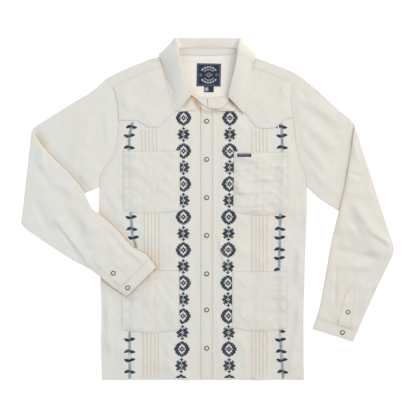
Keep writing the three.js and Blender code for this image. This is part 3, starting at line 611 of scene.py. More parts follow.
def segments_of(line, closed):
    line = np.asarray(line, float)
    return (line, np.roll(line, -1, axis=0)) if closed else (line[:-1], line[1:])


def distance_to(line, points, closed=True):
    best = np.full(len(points), np.inf)
    for a, b in zip(*segments_of(line, closed)):
        run = b - a
        share = np.clip((points - a) @ run / max(run @ run, 1e-9), 0, 1)
        best = np.minimum(best, np.linalg.norm(points - a - share[:, None] * run, axis=1))
    return best


def inside(outline, points):
    found = np.zeros(len(points), bool)
    x, y = points[:, 0], points[:, 1]
    for a, b in zip(*segments_of(outline, True)):
        if a[1] == b[1]:
            continue
        crosses = (a[1] > y) != (b[1] > y)
        found ^= crosses & (x < (b[0] - a[0]) * (y - a[1]) / (b[1] - a[1]) + a[0])
    return found


def normals_of(line, closed):
    """Unit normals in plan, on the left of the way that the line runs."""
    if closed:
        along = np.roll(line, -1, axis=0) - np.roll(line, 1, axis=0)
    else:
        along = np.gradient(line, axis=0)
    along /= np.maximum(np.linalg.norm(along, axis=1), 1e-9)[:, None]
    return np.stack([-along[:, 1], along[:, 0]], -1)


def lowered(line, distance):
    """A line that crosses the body, moved down it along its own normals."""
    line = np.asarray(line, float)
    normal = normals_of(line, False)
    normal[normal[:, 1] > 0] *= -1
    return line + normal * distance


def bell(distance, middle, width):
    return np.exp(-(((distance - middle) / width) ** 2))


def fading(distance, strength, reach):
    """Full strength at a line, and none past its reach."""
    return strength * (1 - smooth(distance / reach))


def distance_outside(outline, points):
    return np.where(inside(outline, points), 0.0, distance_to(outline, points))


def over(grid, function, subject):
    """A function of a subject and points in plan, at the points of a grid."""
    return function(subject, grid[:, :, :2].reshape(-1, 2)).reshape(grid.shape[:2])


# ---- Form of the cloth, and the shade painted on it ----


def ripples(name, points):
    """Waves as in cloth smoothed by hand: coarse ones, and finer ones on them. The cloth rests on the
    layer below it, so troughs are flat and never go below zero."""
    stretch_x, stretch_y, wavelength, height, seed = WAVES[name]
    points = points * (stretch_x, stretch_y)
    rng = np.random.default_rng(seed)
    total = np.zeros(len(points))
    for octave, share in WAVE_OCTAVES:
        for _ in range(WAVES_IN_OCTAVE):
            angle, phase, size = rng.uniform(0, np.pi), rng.uniform(0, 2 * np.pi), rng.uniform(0.7, 1.6)
            direction = np.array([math.cos(angle), math.sin(angle)])
            direction = direction * 2 * np.pi * octave / (wavelength * size)
            total += share * np.sin(points @ direction + phase)
    return height * np.logaddexp(0, total / 2) / 3


def fold_height(name, points):
    """Height of the soft folds in a table, at points in plan."""
    total = np.zeros(len(points))
    for x0, y0, x1, y1, half_width, height, lean in FOLDS[name]:
        start, run = np.array([x0, y0]), np.array([x1 - x0, y1 - y0])
        length = np.linalg.norm(run)
        along = (points - start) @ run / length
        across = (points - start) @ np.array([run[1], -run[0]]) / length
        reach = half_width * (1 - lean * np.sign(across))
        ends = np.minimum(along, length - along) / (0.35 * length)
        total += height * smooth(ends) * smooth(1 - np.abs(across) / reach)
    return total * bpy.context.scene.shirt_cloth.crease


def edge_form(kind, distance):
    """How cloth dips along its rows of stitching, and rolls down at its edge."""
    dip, roll, reach = EDGE_FORMS[kind]
    stitched = sum(bell(distance, row, STITCH_DIP_WIDTH) for row in STITCH_ROWS.get(kind, ()))
    return -dip * stitched - fading(distance, roll, reach)


def painted_seam_shade(kind, distance):
    """How strongly shade is painted in the seam colour at a distance from an edge or a line."""
    edge, line = PAINTED_SEAM_SHADES.get(kind, ((), ()))
    shade = fading(distance, *edge) if edge else 0.0
    return shade + (line[0] * bell(distance, *line[1:]) if line else 0.0)


def forearm_cover(side):
    """Outline of the forearm that lies over a side of the shirt."""
    along = np.linspace(0, 1, 30)
    top, under = (on_curve(SLEEVE_EDGES[side][key], along) for key in ("forearm_top", "forearm_under"))
    return np.concatenate([top, under[::-1]])


def painted_hollow_shade(side, points):
    """Warm shade painted on the cloth in the hollows, under the collar and beside the forearm."""
    total = np.zeros(len(points))
    for x0, y0, x1, y1, reach, strength in PAINTED_HOLLOWS:
        away = distance_to([(x0, y0), (x1, y1)], points, False)
        total = np.maximum(total, fading(away, strength, reach))
    near = distance_outside(forearm_cover(side), points)
    return total + PAINTED_BOUNCE_SHARE[side] * sum(fading(near, *layer) for layer in PAINTED_BOUNCE)


def clear_of_forearm(side, points):
    """From 0 under the forearm to 1 where the cloth is free to wave."""
    return smooth(distance_outside(forearm_cover(side), points) / CALM["forearm"])


def neck_lift(y):
    """The yoke rises towards the back of the neck."""
    return NECK_LIFT["height"] * smooth((y - NECK_LIFT["from"]) / (NECK_LIFT["to"] - NECK_LIFT["from"]))


# ---- Meshes ----


def new_piece(name, vertices, faces, material, node=None, sharp=None, **attributes):
    """Makes a piece from points in millimetres, and hangs it on the frame, in its node's place if it has
    one. Attributes given for one skin hold for both."""
    mesh = bpy.data.meshes.new(name)
    mesh.from_pydata((np.asarray(vertices) * MM).tolist(), [], faces)
    mesh.materials.append(material_named(material))
    for key, values in attributes.items():
        values = np.asarray(values, np.float32)
        values = np.concatenate([values] * (len(vertices) // len(values)))
        kind, field = ("FLOAT", "value") if values.ndim == 1 else ("FLOAT_VECTOR", "vector")
        mesh.attributes.new(key, kind, "POINT").data.foreach_set(field, values.ravel())
    mesh.polygons.foreach_set("use_smooth", np.ones(len(mesh.polygons), bool))
    if sharp is not None:
        mesh.set_sharp_from_angle(angle=math.radians(sharp))
    mesh.update()
    if mesh.validate():
        raise RuntimeError(f"{name} had faces that are not valid")
    piece = bpy.data.objects.new(name, mesh)
    bpy.context.scene.collection.objects.link(piece)
    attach(piece, BODY)
    if node:
        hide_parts(node)
    return piece


def cloth_piece(node, vertices, faces, held, rests_on, material="cotton_linen_plain_weave", **attributes):
    """A sheet of cloth in its node's place."""
    piece = new_piece(node + "_cloth", vertices, faces, material, node, sharp=60, **attributes)


def box_of(node):
    """Lowest and highest corner of a node, in millimetres."""
    return [np.array(corner / MM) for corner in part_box(node)]


def centre_of(node):
    return np.mean(box_of(node), axis=0)[:2]


def plan_of(node):
    """Outline in plan of a flat node: the border of the faces of it that look up."""
    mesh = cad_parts[node].data
    mesh.calc_loop_triangles()
    spots = [tuple(round(v / MM, 2) for v in vertex.co.xy) for vertex in mesh.vertices]
    up = [[spots[i] for i in face.vertices] for face in mesh.loop_triangles if face.normal.z > 0.5]
    following = dict(border_edges(up))
    loops = []
    while following:
        loop = [next(iter(following))]
        while loop[-1] in following:
            loop.append(following.pop(loop[-1]))
        loops.append(np.array(loop[:-1]))
    outline = max(loops, key=len)
    before, after = outline - np.roll(outline, 1, axis=0), np.roll(outline, -1, axis=0) - outline
    turn = np.abs(before[:, 0] * after[:, 1] - before[:, 1] * after[:, 0])
    lengths = np.linalg.norm(before, axis=1) * np.linalg.norm(after, axis=1)
    return outline[turn > 0.002 * lengths]


def filled(outline, step, rings, columns=None):
    """Points and triangles of a panel: its edge, rows that follow the edge, and a grid inside them."""
    edge = even(outline, step)
    sets = [edge]
    inward = normals_of(edge, True)
    for ring in rings:
        moved = edge + inward * ring
        sets.append(moved[distance_to(outline, moved) > 0.96 * ring])
    low, high = outline.min(0), outline.max(0)
    rows = np.arange(low[1] + step / 2, high[1], step)
    plain = np.arange(low[0] + step / 2, high[0], step)
    grid = np.concatenate([np.stack(np.broadcast_arrays(columns(y, plain) if columns else plain, y), -1)
                           for y in rows])
    clear = (rings[-1] if rings else 0) + 0.45 * step
    keep = inside(outline, grid)
    keep[keep] = distance_to(outline, grid[keep]) > clear
    sets.append(grid[keep])
    points = [Vector(p) for p in np.concatenate(sets).tolist()]
    border = [(i, (i + 1) % len(edge)) for i in range(len(edge))]
    made = geometry.delaunay_2d_cdt(points, border, [], 1, 1e-4)
    return np.array([tuple(v) for v in made[0]]), [tuple(f) for f in made[2]]


def border_edges(triangles):
    edges = {}
    for a, b, c in triangles:
        for pair in ((a, b), (b, c), (c, a)):
            if pair[0] != pair[1] and edges.pop(pair[::-1], None) is None:
                edges[pair] = True
    return list(edges)


def shell(points, triangles, top, bottom):
    """A closed shell between two skins over the same points in plan."""
    count = len(points)
    vertices = np.concatenate([np.column_stack([points, top]), np.column_stack([points, bottom])])
    faces = list(triangles)
    faces += [(a + count, c + count, b + count) for a, b, c in triangles]
    faces += [(a, a + count, b + count, b) for a, b in border_edges(triangles)]
    return vertices, faces


def grid_shell(upper, lower, around=False):
    """A closed shell between two skins on the same grid. around joins each row's end to its start."""
    rows, columns = upper.shape[:2]
    vertices = np.concatenate([upper.reshape(-1, 3), lower.reshape(-1, 3)])
    at = np.arange(2 * rows * columns).reshape(2, rows, columns)
    if around:
        at = np.concatenate([at, at[:, :, :1]], axis=2)

    def quads(a, b, c, d):
        return np.stack([a, b, c, d], -1).reshape(-1, 4).tolist()

    up, low = at
    faces = quads(up[:-1, :-1], up[:-1, 1:], up[1:, 1:], up[1:, :-1])
    faces += quads(low[:-1, :-1], low[1:, :-1], low[1:, 1:], low[:-1, 1:])
    faces += quads(low[0, :-1], low[0, 1:], up[0, 1:], up[0, :-1])
    faces += quads(up[-1, :-1], up[-1, 1:], low[-1, 1:], low[-1, :-1])
    if not around:
        faces += quads(up[:-1, 0], up[1:, 0], low[1:, 0], low[:-1, 0])
        faces += quads(up[:-1, -1], low[:-1, -1], low[1:, -1], up[1:, -1])
    return facing_out(vertices, faces)


def facing_out(vertices, faces):
    """Turns the faces of a closed mesh round if they point in."""
    volume = 0.0
    for face in faces:
        for i in range(1, len(face) - 1):
            a, b, c = (vertices[face[k]] for k in (0, i, i + 1))
            volume += a @ np.cross(b, c)
    return vertices, [tuple(f) if volume > 0 else tuple(f[::-1]) for f in faces]


def joined(parts):
    """Several meshes as one."""
    vertices, faces, offset = [], [], 0
    for part_vertices, part_faces in parts:
        vertices.append(part_vertices)
        faces += [tuple(i + offset for i in face) for face in part_faces]
        offset += len(part_vertices)
    return np.concatenate(vertices), faces


def offset_shell(grid, thickness):
    """A shell with its middle on a grid of points in space."""
    across = np.gradient(grid, axis=1)
    down = np.gradient(grid, axis=0)
    normal = np.cross(across, down)
    normal /= np.maximum(np.linalg.norm(normal, axis=2), 1e-9)[:, :, None]
    return grid + normal * thickness / 2, grid - normal * thickness / 2, normal


def surface_under(name):
    """A function that gives the height of a piece's top, in millimetres, at points in plan."""
    mesh = bpy.data.objects[name].data
    vertices = [vertex.co / MM for vertex in mesh.vertices]
    tree = BVHTree.FromPolygons(vertices, [tuple(face.vertices) for face in mesh.polygons])

    def height(points):
        found = []
        for x, y in points:
            hit = tree.ray_cast(Vector((x, y, 100)), Vector((0, 0, -1)))[0]
            found.append(hit.z if hit else tree.find_nearest(Vector((x, y, 10)))[0].z)
        return np.array(found)

    return height


def laid(points, surface):
    """Points in plan, laid on a surface."""
    return np.column_stack([points, surface(points)])


# ---- Materials ----

WAVE_BAND = math.pi / 10  # a band of the Wave texture is this wide at scale 1


def add_node(tree, kind, inputs=None, stops=(), **settings):
    """Adds a node with its settings. Each input is a value, or an output socket to link, and stops are
    the places and colours of a colour ramp."""
    node = tree.nodes.new(kind)
    for key, value in settings.items():
        setattr(node, key, value)
    for key, value in (inputs or {}).items():
        if isinstance(value, bpy.types.NodeSocket):
            tree.links.new(value, node.inputs[key])
        else:
            node.inputs[key].default_value = value
    for i, (place, colour) in enumerate(stops):
        node.color_ramp.elements[i].position = place
        node.color_ramp.elements[i].color = (*colour, 1)
    return node


def new_material(name, values):
    """A named material with its node tree, and the shader that its surface shows, which takes values
    that are the same all over."""
    material = bpy.data.materials.new(name)
    material.use_nodes = True
    tree = material.node_tree
    tree.nodes.clear()
    shader = add_node(tree, "ShaderNodeBsdfPrincipled", values)
    add_node(tree, "ShaderNodeOutputMaterial", {"Surface": shader.outputs["BSDF"]})
    return material, tree, shader


def uneven_dye(tree, amount, limits):
    """Greys to multiply a colour by, from an amount between the limits of a Map Range."""
    shade = add_node(tree, "ShaderNodeMapRange", {"Value": amount, **limits}).outputs[0]
    greys = add_node(tree, "ShaderNodeCombineColor", {"Red": shade, "Green": shade, "Blue": shade})
    return greys.outputs["Color"]


# Shirting: a plain weave of cotton and linen, undyed, washed and pressed. Its threads are matt, uneven
# in thickness and a little hairy, so the cloth scatters light evenly and shows faint streaks both ways.
def shirting_material(name):
    settings = bpy.context.scene.shirt_cloth
    material, tree, shader = new_material(name, {
        "Roughness": 0.9, "IOR": 1.5, "Specular IOR Level": 0.25,
        "Sheen Weight": 0.12, "Sheen Roughness": 0.5,
    })
    grain = add_node(tree, "ShaderNodeAttribute", attribute_name="grain").outputs["Vector"]
    # seam holds painted shade in seams, tucks and hollows; the inside of the back yoke is marked for painted
    # light; through is thread seen through the cloth.
    seam, through, lining = (
        add_node(tree, "ShaderNodeAttribute", attribute_name=key).outputs["Fac"]
        for key in ("seam", "through", "lining")
    )

    # Slubs: a real one is about 1 mm thick and 30 to 80 mm long. They are drawn 3 mm thick to show.
    slub_width, slub_length = 3.0 * MM, 70.0 * MM
    slubs = []
    for stretch in ((1 / slub_width, 1 / slub_length, 1), (1 / slub_length, 1 / slub_width, 1)):
        place = add_node(tree, "ShaderNodeVectorMath", {0: grain, 1: stretch}, operation="MULTIPLY")
        noise = add_node(
            tree, "ShaderNodeTexNoise", {"Vector": place.outputs[0], "Scale": 1.0, "Detail": 2.0}
        )
        slubs.append(noise.outputs["Fac"])
    both = add_node(tree, "ShaderNodeMath", {0: slubs[0], 1: slubs[1]}, operation="ADD").outputs[0]

    # Broad tones, 120 mm across: the undyed fibres lean a little to grey-green or to pink.
    tone = add_node(tree, "ShaderNodeTexNoise", {"Vector": grain, "Scale": 1 / (120 * MM), "Detail": 1.0})
    tones = add_node(
        tree, "ShaderNodeValToRGB", {"Fac": tone.outputs["Fac"]},
        stops=((0.35, linear("FDFFFF")), (0.65, linear("FFFDFC"))),
    )
    streaks = {"From Min": 0.6, "From Max": 1.4, "To Min": 0.975, "To Max": 1.015}
    # On the cloth's own colour go painted light on the inside of the back yoke, the tones and streaks, thread
    # seen through, and last the painted shade of seams, tucks and hollows.
    layers = (
        (lining, (*settings.lining, 1), "MIX"),
        (1.0, tones.outputs["Color"], "MULTIPLY"),
        (1.0, uneven_dye(tree, both, streaks), "MULTIPLY"),
        (through, (*settings.shown_through, 1), "MIX"),
        (seam, (*settings.seam, 1), "MIX"),
    )
    colour = (*settings.cloth, 1)
    for share, layer, blend in layers:
        colour = add_node(
            tree, "ShaderNodeMix", {0: share, 6: colour, 7: layer}, data_type="RGBA", blend_type=blend
        ).outputs[2]
    tree.links.new(colour, shader.inputs["Base Color"])

    # The threads are about 0.45 mm apart. They are drawn at the weave pitch, which is coarser, to show.
    waves = [
        add_node(
            tree, "ShaderNodeTexWave",
            {"Vector": grain, "Scale": WAVE_BAND / settings.weave, "Distortion": 1.2, "Detail": 1.0,
             "Detail Scale": 1.5},
            bands_direction=direction,
        ).outputs["Fac"]
        for direction in ("X", "Y")
    ]
    threads = add_node(tree, "ShaderNodeMath", {0: waves[0], 1: waves[1]}, operation="MULTIPLY").outputs[0]
    relief = add_node(tree, "ShaderNodeMath", {0: both, 1: 0.6, 2: threads}, operation="MULTIPLY_ADD")
    bump = add_node(
        tree, "ShaderNodeBump", {"Height": relief.outputs[0], "Strength": 0.16, "Distance": 0.2 * MM}
    )
    tree.links.new(bump.outputs["Normal"], shader.inputs["Normal"])
    return material


def spun_and_dyed(tree, shader, colour, mottle, limits, pitch, direction, distortion, strength):
    """Thread that takes dye unevenly over the length of mottle, in strands or ribs a pitch apart."""
    place = add_node(tree, "ShaderNodeTexCoord").outputs["Object"]
    depth = add_node(tree, "ShaderNodeTexNoise", {"Vector": place, "Scale": 1 / mottle, "Detail": 2.0})
    dyed = add_node(
        tree, "ShaderNodeMix",
        {0: 1.0, 6: (*colour, 1), 7: uneven_dye(tree, depth.outputs["Fac"], limits)},
        data_type="RGBA", blend_type="MULTIPLY",
    )
    tree.links.new(dyed.outputs[2], shader.inputs["Base Color"])
    strands = add_node(
        tree, "ShaderNodeTexWave",
        {"Vector": place, "Scale": WAVE_BAND / pitch, "Distortion": distortion}, bands_direction=direction,
    )
    bump = add_node(
        tree, "ShaderNodeBump",
        {"Height": strands.outputs["Fac"], "Strength": strength, "Distance": 0.1 * MM},
    )
    tree.links.new(bump.outputs["Normal"], shader.inputs["Normal"])


# Embroidery floss: six strands of mercerised cotton, loosely twisted. Mercerising gives it a soft
# shine along the strands, and dyed threads differ a little in depth. Sewing thread and the labels'
# light thread are polyester, spun in the same way.
def floss_material(name, colour, roughness):
    material, tree, shader = new_material(name, {"Roughness": roughness, "Sheen Weight": 0.2})
    colour = getattr(bpy.context.scene.shirt_thread, colour)
    limits = {"From Min": 0.3, "From Max": 0.7, "To Min": 0.72, "To Max": 1.3}
    # Strands are 0.2 mm thick and are drawn at 0.5 mm.
    spun_and_dyed(
        tree, shader, colour, mottle=2.5 * MM, limits=limits, pitch=0.5 * MM, direction="DIAGONAL",
        distortion=2.0, strength=0.4,
    )
    return material


# Label damask: fine polyester satin, woven dense and heat-cut, smooth and slightly shiny with fine ribs.
def label_material(name):
    material, tree, shader = new_material(name, {"Roughness": 0.55, "Sheen Weight": 0.1})
    # Ribs are 0.3 mm apart and are drawn at 0.8 mm.
    spun_and_dyed(
        tree, shader, bpy.context.scene.shirt_cloth.label, mottle=4 * MM,
        limits={"To Min": 0.75, "To Max": 1.25}, pitch=0.8 * MM, direction="Y", distortion=0.0, strength=0.3,
    )
    return material


# Satin nickel: brass stampings, nickel plated and tumbled. The plating is grey and blurs reflections,
# and handling leaves some places brighter.
def nickel_material(name):
    material, tree, shader = new_material(name, {"Metallic": 1.0})
    place = add_node(tree, "ShaderNodeTexCoord").outputs["Object"]
    wear = add_node(tree, "ShaderNodeTexNoise", {"Vector": place, "Scale": 1 / (1.5 * MM), "Detail": 3.0})
    rough = add_node(
        tree, "ShaderNodeMapRange", {"Value": wear.outputs["Fac"], "To Min": 0.28, "To Max": 0.5}
    )
    tree.links.new(rough.outputs[0], shader.inputs["Roughness"])
    metal = bpy.context.scene.shirt_snap.metal
    tones = add_node(
        tree, "ShaderNodeValToRGB", {"Fac": wear.outputs["Fac"]}, stops=((0, 0.75 * metal), (1, metal))
    )
    tree.links.new(tones.outputs["Color"], shader.inputs["Base Color"])
    return material


# Acrylic pearl: a moulded cap with flakes of pearl essence, polished. It is milky, with soft cloudy
# swirls under a clear gloss.
def pearl_material(name):
    material, tree, shader = new_material(
        name, {"Roughness": 0.25, "IOR": 1.49, "Coat Weight": 0.5, "Coat Roughness": 0.1}
    )
    place = add_node(tree, "ShaderNodeTexCoord").outputs["Object"]
    swirl = add_node(
        tree, "ShaderNodeTexNoise",
        {"Vector": place, "Scale": 1 / (3.5 * MM), "Detail": 2.0, "Distortion": 1.5},
    )
    pearl = bpy.context.scene.shirt_snap.pearl
    tones = add_node(
        tree, "ShaderNodeValToRGB", {"Fac": swirl.outputs["Fac"]}, stops=((0, 0.86 * pearl), (1, pearl))
    )
    tree.links.new(tones.outputs["Color"], shader.inputs["Base Color"])
    return material


# Studio floor: white matt acrylic, lit a little from below, so that it stays plain and pale.
def floor_material(name):
    settings = bpy.context.scene.shirt_stage
    material, tree, shader = new_material(
        name,
        {"Roughness": 0.8, "Emission Color": (*settings.floor, 1), "Emission Strength": settings.glow},
    )
    mottle = add_node(tree, "ShaderNodeTexNoise", {"Scale": 3.0, "Detail": 1.0})
    tones = add_node(
        tree, "ShaderNodeValToRGB", {"Fac": mottle.outputs["Fac"]},
        stops=((0, 0.995 * settings.floor), (1, settings.floor)),
    )
    tree.links.new(tones.outputs["Color"], shader.inputs["Base Color"])
    return material


# What makes each, the slot of the pieces made of it, and a thread's colour and roughness.
MATERIALS = {
    "cotton_linen_plain_weave": (shirting_material, "cream_shirting"),
    "label_damask_satin": (label_material, "navy_cloth"),
    "satin_nickel_plate": (nickel_material, "snap_metal"),
    "acrylic_pearl_cap": (pearl_material, "snap_pearl"),
    "white_matt_acrylic": (floor_material, None),
    "navy_cotton_floss": (floss_material, "navy_cloth", "navy", 0.6),
    "grey_cotton_floss": (floss_material, "navy_cloth", "stem", 0.65),
    "polyester_sewing_thread": (floss_material, "cream_shirting", "sewing", 0.7),
    "label_figure_thread": (floss_material, "navy_cloth", "figure", 0.6),
}


def material_named(name):
    make, _, *details = MATERIALS[name]
    return bpy.data.materials.get(name) or make(name, *details)


# ---- Flat panels ----


def tuck_lines(side, y):
    """X of each pin tuck at height y, one row for each tuck."""
    middle = middle_of(TUCK_MIDDLE[side], np.asarray(y, float))
    order = np.arange(TUCKS["count"]) - (TUCKS["count"] - 1) / 2
    return middle + order.reshape((-1,) + (1,) * middle.ndim) * TUCKS["pitch"]


def tuck_shape(side, points):
    """Height of the pin tucks, and how deep in a tuck's crease a point lies. All are pressed to -X."""
    offset = points[:, 0] - tuck_lines(side, points[:, 1])
    nearest = -offset[np.abs(offset).argmin(0), np.arange(len(points))]
    begun = smooth((TUCKS["start"] - points[:, 1]) / (TUCKS["start"] - TUCKS["full"]))
    half, ridge = TUCKS["width"] / 2, TUCKS["ridge"]
    steep = np.where(nearest > ridge, (half - nearest) / (half - ridge), (half + nearest) / (half + ridge))
    rise = TUCKS["height"] * np.clip(steep, 0, 1) ** 0.8
    return begun * rise, begun * bell(nearest, half + 0.1, 0.75)


def front_surface(side, points):
    """Top of a front before tucks: the lap on the left, and the climb to the placket on the right."""
    base = np.full(len(points), FRONT_TOP)
    if side == "right":
        lift = PLACKET["underside"] + WALL - FRONT_TOP
        base += fading(points[:, 0] - PLACKET["right"], lift, PLACKET["climb"])
    beside = np.abs(points[:, 0] - PLACKET["middle"])
    calm = smooth((beside - CALM["placket"]) / CALM["past_placket"])
    waves = fold_height("front_" + side, points) + ripples("front", points) * calm
    armhole = distance_to(ARMHOLES[side], points, False)
    sewn = CALM["at_armhole"] + (1 - CALM["at_armhole"]) * smooth(armhole / CALM["armhole"])
    return base + waves * sewn * clear_of_forearm(side, points)


def hem_rise(points):
    """The doubled cloth of the hem, and the dip of its stitching."""
    above = points[:, 1] - (HEM["y"] + HEM["depth"])
    return HEM["rise"] * smooth(-above / 1.5 + 0.5) - HEM["dip"] * bell(above, 0, 1.0)


def tuck_columns(side):
    """Columns for a front's grid: close together at each tuck."""
    across = TUCK_COLUMNS * TUCKS["width"]

    def columns(y, plain):
        lines = tuck_lines(side, y)
        first, last = lines.min() - TUCKS["pitch"] / 2, lines.max() + TUCKS["pitch"] / 2
        near = (lines[:, None] - across).ravel()
        return np.concatenate([plain[(plain < first) | (plain > last)], np.sort(near)])

    return columns


def panel(node, kind, height, rests_on, seam=None, thickness=CLOTH, bottom=None, step=None, columns=None,
          rings=(0.7, 1.6, 2.6, 4.0), through=0.0, turn=0.0, hollows=1.0, **settings):
    """A flat panel over a node's outline. height(points) is its top before the form of its kind of edge,
    and seam(points) any painted shade that isn't its edge's own. Its seam attribute holds painted shade."""
    outline = plan_of(node)
    step = step or bpy.context.scene.shirt_cloth.grid / MM
    points, triangles = filled(outline, step, rings, columns)
    distance = distance_to(outline, points)
    side = "left" if outline[:, 0].mean() < 0 else "right"
    top = height(points) + edge_form(kind, distance)
    under = top - thickness if bottom is None else np.full(len(points), bottom)
    along = points @ np.array([[math.cos(turn), -math.sin(turn)], [math.sin(turn), math.cos(turn)]])
    # Painted shade: along its edges and seams, then warm shade painted in the hollows.
    shade = painted_seam_shade(kind, distance)
    if seam:
        shade = np.maximum(shade, seam(points))
    shade = painted_hollow_shade(side, points) * hollows + shade
    cloth_piece(
        node, *shell(points, triangles, top, under), "laid", rests_on,
        grain=np.column_stack([along, np.zeros(len(points))]) * MM,
        through=thread_beneath(side, points) * through,
        seam=np.clip(shade, 0, PAINTED_SHADE_LIMIT), **settings,
    )


# ---- Embroidery layout, which the pockets and yokes also read, for what shows through them ----


def middle_of(line, y):
    rows = np.array(line)[::-1]
    return np.interp(y, rows[:, 0], rows[:, 1])


def band_cells(side):
    """Centres of a band's cross stitches."""
    size = bpy.context.scene.shirt_thread.stitch / MM
    cells = []
    for row in range(int((BANDS["top"] - HEM["y"] - BANDS["clear_of_hem"]) / size)):
        y = BANDS["top"] - (row + 0.5) * size
        chart = BAND_CHART[row % len(BAND_CHART)]
        left = float(middle_of(BANDS[side], y)) - (len(chart) - 1) / 2 * size
        cells += [(left + i * size, y) for i, mark in enumerate(chart) if mark == "#"]
    return np.array(cells)


def leaf_pairs(side):
    """Where each pair of leaves springs from a stem: x, y, and whether it points up or down."""
    ys = np.arange(STRIPS[side][0][0] - 9, HEM["y"] + 8, -LEAF_SPACING)
    return [(float(middle_of(STRIPS[side], y)), y, 1 if i % 2 else -1) for i, y in enumerate(ys)]


def leaf_axes(side):
    """Root and tip of every leaf."""
    axes = []
    for x, y, way in leaf_pairs(side):
        for hand in (-1, 1):
            root = np.array([x - hand * 0.8, y])
            reach = np.array([hand * math.cos(LEAF["rise"]), way * math.sin(LEAF["rise"])])
            axes.append((root, root + reach * LEAF["length"]))
    return axes


def thread_beneath(side, points):
    """How strongly embroidery under a layer of cloth shows through it."""
    x, y = points.T
    stem = bell(x, middle_of(STRIPS[side], y), SHOWN_THROUGH["stem_width"]) * SHOWN_THROUGH["stem"]
    leaves = np.zeros(len(points))
    for root, tip in leaf_axes(side):
        near = np.abs(y - root[1]) < 20
        leaf = bell(distance_to([root, tip], points[near], False), 0, SHOWN_THROUGH["leaf_width"])
        leaves[near] = np.maximum(leaves[near], leaf)
    worked = (y < STRIPS[side][0][0]) & (y > HEM["y"])
    return np.maximum(stem, leaves * SHOWN_THROUGH["leaves"]) * worked * SHOWN_THROUGH["all"]


# ---- Fine stitches, all of one kind as one mesh ----


def strand_mesh(starts, ends, up, width, rise):
    """Short raised strands, each a low roof that narrows to its ends."""
    starts, ends = np.asarray(starts, float), np.asarray(ends, float)
    up = np.broadcast_to(np.asarray(up, float), starts.shape)
    along = ends - starts
    side = np.cross(up, along)
    side /= np.maximum(np.linalg.norm(side, axis=1), 1e-9)[:, None]
    sections = []
    for share, wide, high in ((0.0, 0.45, 0.12), (0.25, 1.0, 0.9), (0.75, 1.0, 0.9), (1.0, 0.45, 0.12)):
        middle = starts + along * share
        for across, lift in ((-0.5, 0), (-0.25, high), (0.25, high), (0.5, 0)):
            sections.append(middle + side * width * across * wide + up * rise * lift)
    vertices = np.stack(sections, axis=1)
    one = []
    for k in range(3):
        for j in range(4):
            a, b = 4 * k + j, 4 * k + (j + 1) % 4
            one.append((a, a + 4, b + 4, b))
    one += [(0, 1, 2, 3), (15, 14, 13, 12)]
    count = vertices.shape[1]
    faces = [tuple(i * count + c for c in face) for i in range(len(starts)) for face in one]
    return vertices.reshape(-1, 3), faces


def sewing_piece(name, lines):
    """Topstitching along lines in space. Each line is its points, and the way the surface faces at each."""
    length = bpy.context.scene.shirt_thread.topstitch / MM
    starts, ends, ups = [], [], []
    for points, up in lines:
        total = run_along(points)[-1]
        count = max(1, int(total / (length * TOPSTITCH["pitch"])))
        at = np.arange(count) * total / count
        starts.append(on_line(points, at))
        ends.append(on_line(points, at + length))
        ups.append(on_line(np.column_stack([points, up]), at)[:, 3:])
    ends_and_ups = (np.concatenate(rows) for rows in (starts, ends, ups))
    stitches = strand_mesh(*ends_and_ups, TOPSTITCH["width"], TOPSTITCH["rise"])
    new_piece(name, *stitches, "polyester_sewing_thread")


def stretches(points, good, surface, closed=True):
    """The unbroken stretches of a line where good is true, as lines on a surface."""
    if closed and not good.all():
        start = int(np.argmin(good))
        points, good = np.roll(points, -start, axis=0), np.roll(good, -start)
    elif closed:
        points, good = np.vstack([points, points[:1]]), np.append(good, True)
    runs = [[]]
    for point, kept in zip(points, good):
        if kept:
            runs[-1].append(point)
        elif runs[-1]:
            runs.append([])
    return [(laid(np.array(run), surface), np.tile(UP, (len(run), 1))) for run in runs if len(run) > 2]


def plan_rows(outline, kind, surface, keep=None):
    """A piece's rows of topstitching inside its outline, on a surface. keep drops what isn't sewn."""
    fine = even(outline, 3.0)
    inward = normals_of(fine, True)
    lines = []
    for distance in STITCH_ROWS[kind]:
        moved = fine + inward * distance
        good = distance_to(outline, moved) > 0.9 * distance
        if keep is not None:
            good &= keep(moved)
        lines += stretches(moved, good, surface)
    return lines


# ---- Operators: one for each piece or group of like pieces ----


class SHIRT_OT_back(bpy.types.Operator):
    """Make the back, which the shirt lies on"""

    bl_idname = "shirt.back"
    bl_label = "Back"

    def execute(self, context):
        panel(
            "back", "back", lambda points: BACK["top"], ["shirt_floor"],
            bottom=BACK["bottom"], step=9.0,
        )
        return {"FINISHED"}


